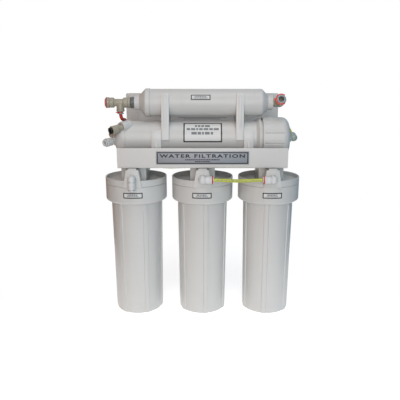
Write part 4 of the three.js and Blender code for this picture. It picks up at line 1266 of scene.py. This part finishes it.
# %% [markdown]
# ## Push-fit fittings
# A push-fit socket is a stepped barrel. A collet slides in its mouth, and a red fork under the collet's
# flange keeps it from being pressed in, which would let the tube go. Each is made once as a recipe that
# takes the place of the mouth and its direction.

# %% Barrels, collets and forks
class Fit:
    """The sizes that belong to one tube size."""

    def __init__(self, tube, socket):
        self.tube = tube
        self.socket = socket
        self.collet = tube + 1.7
        self.flange = tube + 3.2


quarter = Fit(3.175, 7.25)
three_eighths = Fit(4.76, 9.6)
collet_depth = 10.0
flow_radius = 2.4


def barrel(work, fit, centre, direction, length, shoulder):
    """A socket from a fitting's centre to its mouth."""
    mouth = length
    outline = rounded([
        (flow_radius, 0, 0), (fit.socket - 1.7, 0, 0), (fit.socket - 1.7, shoulder, 0.6),
        (fit.socket - 0.3, shoulder + 0.9, 0.6), (fit.socket - 0.3, mouth - 4.6, 0.3),
        (fit.socket - 0.8, mouth - 4.2, 0.2),
        (fit.socket - 0.8, mouth - 3.8, 0.2), (fit.socket, mouth - 3.4, 0.4), (fit.socket, mouth, 0.6),
        (fit.collet + 0.4, mouth, 0.3), (fit.collet + 0.4, mouth - collet_depth, 0.2),
        (fit.tube + 0.4, mouth - collet_depth, 0.2), (fit.tube + 0.4, mouth - collet_depth - 3, 0.2),
        (flow_radius, mouth - collet_depth - 3, 0.2),
    ], steps=3)
    work.turn(outline, centre, direction, 40)


def hexagon(work, centre, direction, radius, start, height):
    direction = Vector(direction)
    side = any_side(direction)
    outline = arc((0, 0), radius, 0, 300, 5)
    work.extrude(outline, Vector(centre) + direction * start, side, direction.cross(side), direction, height)


def make_collet(name, fit, mouth, direction, material, body, slot, gap=2.4):
    outline = rounded([
        (fit.tube + 0.35, -7.6, 0.2), (fit.collet, -7.6, 0.3),
        (fit.collet, gap, 0.2), (fit.flange, gap, 0.4),
        (fit.flange, gap + 1.5, 0.5), (fit.tube + 0.9, gap + 1.5, 0.4), (fit.tube + 0.35, gap + 0.9, 0.3),
    ], steps=3)
    work = Workpiece().turn(outline, mouth, direction, 40)
    return work.finish(f"{name}_ring", material, body, slot, [name])


def make_fork(name, fit, mouth, direction, opening, reach=2.9):
    """The red locking fork: it opens towards opening and is pulled off the other way."""
    inner = fit.collet + 0.35
    outer = fit.collet + reach
    mouth_angle = math.degrees(math.asin(inner / outer))
    across = Vector(opening).normalized()
    up = Vector(direction).normalized().cross(across)
    outline = [
        *arc((0, 0), outer, mouth_angle + 4, 172, 26), (-outer - 2.6, 1.8), (-outer - 2.6, -1.8),
        *arc((0, 0), outer, 188, 356 - mouth_angle, 26),
        *arc((0, 0), inner, 280, 80, 26),
    ]
    start = Vector(mouth) + Vector(direction).normalized() * 0.35
    work = Workpiece().extrude(outline, start, across, up, Vector(direction).normalized(), 1.7)
    return work.finish(f"{name}_fork", red_clip, name, "red_clip", [name], soften=0.3)


def elbow(work, fit, centre, outward, outlet, seat, arm, ball):
    """A threaded shank with a hexagon, a ball and one socket."""
    outward = Vector(outward).normalized()
    face = 0.3 - seat
    shank = profile([
        (0, face - 8, 0), (5.6, face - 8, 0.5), (6.0, face - 7, 0.3),
        (6.0, face + 1, 0), (0, face + 1, 0),
    ])
    work.turn(shank, centre, outward, 32)
    hexagon(work, centre, outward, 7.6, face, 3.8)
    waist = fit.socket - 1.4
    neck = profile([(0, face + 3, 0), (waist, face + 3, 0.4), (waist, 0, 0), (0, 0, 0)])
    work.turn(neck, centre, outward, 40)
    sphere = [(ball * math.sin(math.pi * k / 20), -ball * math.cos(math.pi * k / 20)) for k in range(21)]
    work.turn(sphere, centre, outward, 40)
    barrel(work, fit, centre, outlet, arm, 5.0)


# %% [markdown]
# ## Fittings on the housings
# The front port of the first housing takes the supply. A tube at the back joins the first and second
# housings, one at the front joins the second and third, and the last rear port feeds the membrane.

# %% Fittings on the housings
port_z = middle_mm("front_elbow_2").z
ball_y = 72.5
elbow_arm = 17.0


def make_head_elbow(number, side, outlet):
    word = "front" if side < 0 else "rear"
    node = f"{word}_elbow_{number}"
    centre = Vector((middle_mm(f"head_{number}").x, side * ball_y, port_z))
    work = Workpiece()
    elbow(work, quarter, centre, (0, side, 0), outlet, 10.5, elbow_arm, 6.9)
    if side > 0:
        mouth = centre + Vector(outlet) * elbow_arm
        ring = rounded([
            (3.5, -2, 0), (4.8, -2, 0), (4.8, 2.0, 0.2),
            (6.3, 2.0, 0.4), (6.3, 3.5, 0.5), (3.5, 3.5, 0.3),
        ])
        work.turn(ring, mouth, outlet, 40)
    work.finish(f"{node}_body", white_fitting, replaces=[node], soften=0.3)
    return centre + Vector(outlet) * elbow_arm


inlet_mouth = make_head_elbow(1, -1, -Z)
make_collet("inlet_collet", quarter, inlet_mouth, -Z, white_fitting, "inlet_collet", "white_plastic")
for number, outlet in ((2, X), (3, -X)):
    mouth = make_head_elbow(number, -1, outlet)
    make_collet(f"front_collet_{number}", quarter, mouth, outlet, white_fitting, "frame", "white_plastic")
    make_fork(f"front_lock_clip_{number}", quarter, mouth, outlet, Y)
for number, outlet in ((1, X), (2, -X), (3, X)):
    make_head_elbow(number, 1, outlet)
print("head fittings made")

# %% [markdown]
# ## Fittings on the membrane housing and the filter
# Two straight fittings leave the dome for the drain and the flush line. Elbows feed the cap and take the
# clean water. At the left of the filter a tee joins the membrane, the tank and the filter, and at the
# right an elbow is ready for the tap's tube.

# %% Fittings on the membrane housing
def make_straight(word, body_material, slot, collet_material, collet_slot):
    face, flow = side_ports[word]
    work = Workpiece()
    outline = profile([
        (0, -8, 0), (4.6, -8, 0.5), (5.0, -7, 0.3), (5.0, 0.3, 0.2),
        (6.2, 0.3, 0.3), (6.2, 3.2, 0.4), (5.0, 3.6, 0.3),
        (5.0, 8.0, 0.6), (7.6, 9.2, 0.8), (7.6, 17.2, 0.3),
        (7.1, 17.6, 0.2), (7.1, 18.0, 0.2), (8.0, 18.5, 0.4),
        (8.0, 22.0, 0.7), (5.3, 22.0, 0.3), (5.3, 12.0, 0.2),
        (3.6, 12.0, 0.2), (3.6, 9.4, 0.2), (0, 9.4, 0),
    ], steps=3)
    work.turn(outline, face, flow, 40)
    work.finish(f"{word}_fitting_body", body_material, "frame", slot, [f"{word}_fitting"])
    mouth = face + flow * 22.0
    make_collet(f"{word}_collet", quarter, mouth, flow, collet_material, f"{word}_collet", collet_slot)


make_straight("drain", beige, "grey_collet", black, "black_collet")
make_straight("flush", white_fitting, "white_plastic", white_fitting, "white_plastic")

feed_outlet = Vector((0, 0.99, 0.139)).normalized()
small_seat = 8.7
feed_centre = membrane_axis + Vector((box_mm("membrane_cap")[1].x + small_seat, 0, 0))
work = Workpiece()
elbow(work, quarter, feed_centre, X, feed_outlet, small_seat, elbow_arm, 6.9)
work.finish("feed_elbow_body", sea_grey, "feed_line", "grey_collet", ["feed_elbow"], soften=0.3)
feed_mouth = feed_centre + feed_outlet * elbow_arm
make_collet("feed_collet", quarter, feed_mouth, feed_outlet, grey, "feed_collet", "grey_collet")

permeate_centre = membrane_axis + Vector((membrane_left - small_seat, 8.0, 5.5))
work = Workpiece()
elbow(work, quarter, permeate_centre, -X, Y, small_seat, elbow_arm, 6.9)
work.finish("permeate_elbow_body", beige, "frame", "beige_fitting", ["permeate_elbow"], soften=0.3)
permeate_mouth = permeate_centre + Y * elbow_arm
make_collet("permeate_collet", quarter, permeate_mouth, Y, grey, "permeate_collet", "grey_collet")

# %% Tee, adapter and outlet elbow
collar_left = box_mm("tee_adapter")[1].x - 8.0 - 7.3
tee_centre = Vector((collar_left - 0.3 - 19.4, filter_axis.y, filter_axis.z))


def ringed_barrel(work, centre, direction, start, end, radius, bore):
    """A tee's end: a barrel with a rounded shoulder and a raised band."""
    outline = rounded([
        (bore, start, 0), (radius - 1.6, start, 0.5),
        (radius - 0.5, start + 1.6, 1.0), (radius - 0.5, end - 6.0, 0.4),
        (radius - 1.1, end - 5.4, 0.3), (radius - 1.1, end - 4.6, 0.3),
        (radius, end - 4.0, 0.5), (radius, end, 0.8),
        (bore, end, 0.3),
    ], steps=3)
    work.turn(outline, centre, direction, 48)


def make_tee():
    work = Workpiece()
    ringed_barrel(work, tee_centre, -X, 11.1, 24.4, 10.0, 6.9)
    ringed_barrel(work, tee_centre, X, 5.4, 19.4, 10.0, 5.2)
    core = [(0, -12.5), (6.9, -12.5), (6.9, 6.8), (0, 6.8)]
    work.turn(core, tee_centre, X, 40)
    branch = profile([
        (0, 0, 0), (6.6, 0, 0), (6.6, 6.6, 0.6), (7.3, 7.4, 0.6),
        (7.3, 11.6, 0.3), (6.9, 12.0, 0.2), (6.9, 12.4, 0.2),
        (7.8, 12.9, 0.5), (7.6, 15.4, 0.6), (6.4, 17.0, 0.8),
        (5.3, 17.0, 0.2), (5.3, 6.7, 0.2), (0, 6.7, 0),
    ], steps=3)
    work.turn(branch, tee_centre, -Z, 40)
    work.finish("tee_body", beige, "frame", "beige_fitting", ["tee"], soften=0.25)
    tank = Fit(4.76, 10.0)
    left_mouth = tee_centre - X * 24.4
    branch_mouth = tee_centre - Z * 17.0
    make_collet("tee_collet", tank, left_mouth, -X, grey, "frame", "grey_collet")
    make_fork("tee_lock_clip", tank, left_mouth, -X, Y, 3.7)
    make_collet("tee_branch_collet", quarter, branch_mouth, -Z, grey, "frame", "grey_collet")
    make_fork("tee_branch_lock_clip", quarter, branch_mouth, -Z, X, 1.7)


def make_adapter():
    work = Workpiece()
    work.turn(profile([
        (0, collar_left - 10, 0), (4.7, collar_left - 10, 0.4),
        (4.7, collar_left, 0), (9.9, collar_left, 0.5),
        (10.4, collar_left + 1.2, 0.6), (10.4, collar_left + 6.1, 0.6), (9.9, collar_left + 7.3, 0.5),
        (6.0, collar_left + 7.3, 0.2), (6.0, collar_left + 15.3, 0.5), (0, collar_left + 15.3, 0),
    ]), filter_axis, X, 48)
    for k in range(18):
        angle = 2 * math.pi * k / 18
        spot = filter_axis + Vector((collar_left, 10.1 * math.cos(angle), 10.1 * math.sin(angle)))
        work.turn([(0, 1.4), (0.55, 1.7), (0.55, 5.7), (0, 6.0)], spot, X, 8)
    work.finish("tee_adapter_collar", dark_grey, "frame", "dark_fitting", ["tee_adapter"])


def make_outlet():
    outlet = Vector((0, -0.95, 0.31)).normalized()
    centre = Vector((box_mm("inline_filter_body")[1].x + 13.0, filter_axis.y, filter_axis.z))
    work = Workpiece()
    elbow(work, three_eighths, centre, X, outlet, 13.0, 22.0, 8.6)
    work.finish("outlet_elbow_body", beige, "frame", "beige_fitting", ["outlet_elbow"], soften=0.3)
    mouth = centre + outlet * 22.0
    make_collet("outlet_collet", three_eighths, mouth, outlet, grey, "frame", "grey_collet")
    make_fork("outlet_lock_clip", three_eighths, mouth, outlet, X, 4.1)


make_tee()
make_adapter()
make_outlet()
print("tee, adapter and outlet made")

# %% [markdown]
# ## Tubes
# Every tube is held at both ends, so its route is the same list of points that the frame was built from.
# A centripetal curve through them keeps the straight stretches straight inside the sockets.

# %% Tubes
tube_radius = 3.175
def cross_route(left, right, y):
    """A short tube between two ports, sagging a little in the middle."""
    middle = (left + right) / 2
    seat, straight, sag = 7.5, 26, 1.5
    return [(left + seat, y, port_z), (left + straight, y, port_z), (middle, y, port_z - sag),
            (right - straight, y, port_z), (right - seat, y, port_z)]


def stepped(start, steps):
    return [Vector(start) + Vector(step) for step in steps]


housing_x = [middle_mm(f"head_{number}").x for number in (1, 2, 3)]
front_route = cross_route(housing_x[1], housing_x[2], -ball_y)
rear_route = cross_route(housing_x[0], housing_x[1], ball_y)
bracket_end = box_mm("bracket")[1].x
feed_route = [
    *stepped(feed_centre, [
        (0, 7.5, 1.06), (0, 14.4, 2.03), (0, 21.3, 3), (-0.6, 29, 6.2),
        (-1.9, 37, 11), (-3.7, 47, 14.9), (-4.4, 57, 13),
        (-2.7, 69, 4.5), (0.8, 79, -9.5), (3.3, 84, -24), (3.3, 86.5, -37),
    ]),
    *stepped((bracket_end, ball_y, port_z), [(17.5, -0.5, 24.5), (11.5, 0, 13)]),
    *stepped((housing_x[2], ball_y, port_z), [(30.5, 0, 4.5), (22, 0, 0.5), (15, 0, 0), (5.5, 0, 0)]),
]
permeate_route = [
    *stepped(tee_centre, [(0, 0, -7.5), (0, 0, -22), (0.8, 2, -28), (2.4, 9, -32.2), (4, 22, -33.5)]),
    *stepped(permeate_centre, [(21.7, 31, 20.4), (13.7, 44, 11.4), (4.7, 47, 3.9), (0, 38, 0.2), (0, 23, 0),
                               (0, 7.5, 0)]),
]


def make_tube(node, route, material, body, slot):
    path = smooth_route(route)
    length = sum((b - a).length for a, b in zip(path, path[1:]))
    Workpiece().sweep(path, tube_radius, 24).finish(f"{node}_line", material, body, slot, [node])
    print(node, "is", round(length), "mm long")


make_tube("front_tube", front_route, yellow_tube, "frame", "yellow_tube")
make_tube("rear_tube", rear_route, yellow_tube, "frame", "yellow_tube")
make_tube("feed_tube", feed_route, yellow_tube, "feed_line", "yellow_tube")
make_tube("permeate_tube", permeate_route, red_tube, "frame", "red_tube")

# %% Dashes printed along the front tube
chance = random.Random(5)
print_work = Workpiece()
spot_x = 26.0
while spot_x < 104.0:
    length = chance.uniform(1.5, 5.0)
    axis_z = port_z - 1.5 * (1 - ((spot_x - 65.5) / 39.5) ** 2)
    tube_axis = (0, -ball_y, axis_z)
    bent_patch(print_work, tube_axis, X, tube_radius + 0.01, 0.05, -24, 2, spot_x, spot_x + length, 6)
    spot_x += length + chance.uniform(0.8, 4.0)
print_work.finish("front_tube_print", grey_ink, slot="yellow_tube")

# %% [markdown]
# ## Inside pieces
# What the housings hold keeps its frame shape, because it is seen only when something is opened. It gets
# the finish of its real material.

# %% Inside pieces
inside_finishes = {
    "cartridge_1": wound, "cartridge_2": carbon, "cartridge_3": carbon, "inline_filter_media": carbon,
    "membrane_element": membrane_wrap, "brine_seal": rubber, "membrane_cap_oring": rubber,
    "sump_oring_1": rubber, "sump_oring_2": rubber, "sump_oring_3": rubber,
}
for node, material in inside_finishes.items():
    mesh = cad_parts[node].data
    mesh.materials.clear()
    mesh.materials.append(material)
shown = [name for name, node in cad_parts.items() if not node.hide_render]
print("frame nodes still shown:", sorted(shown))

# %% [markdown]
# ## Last update
# The view layer is brought up to date once more. The finished surface has to stay inside the frame's
# box.

# %% Update the view layer
bpy.context.view_layer.update()
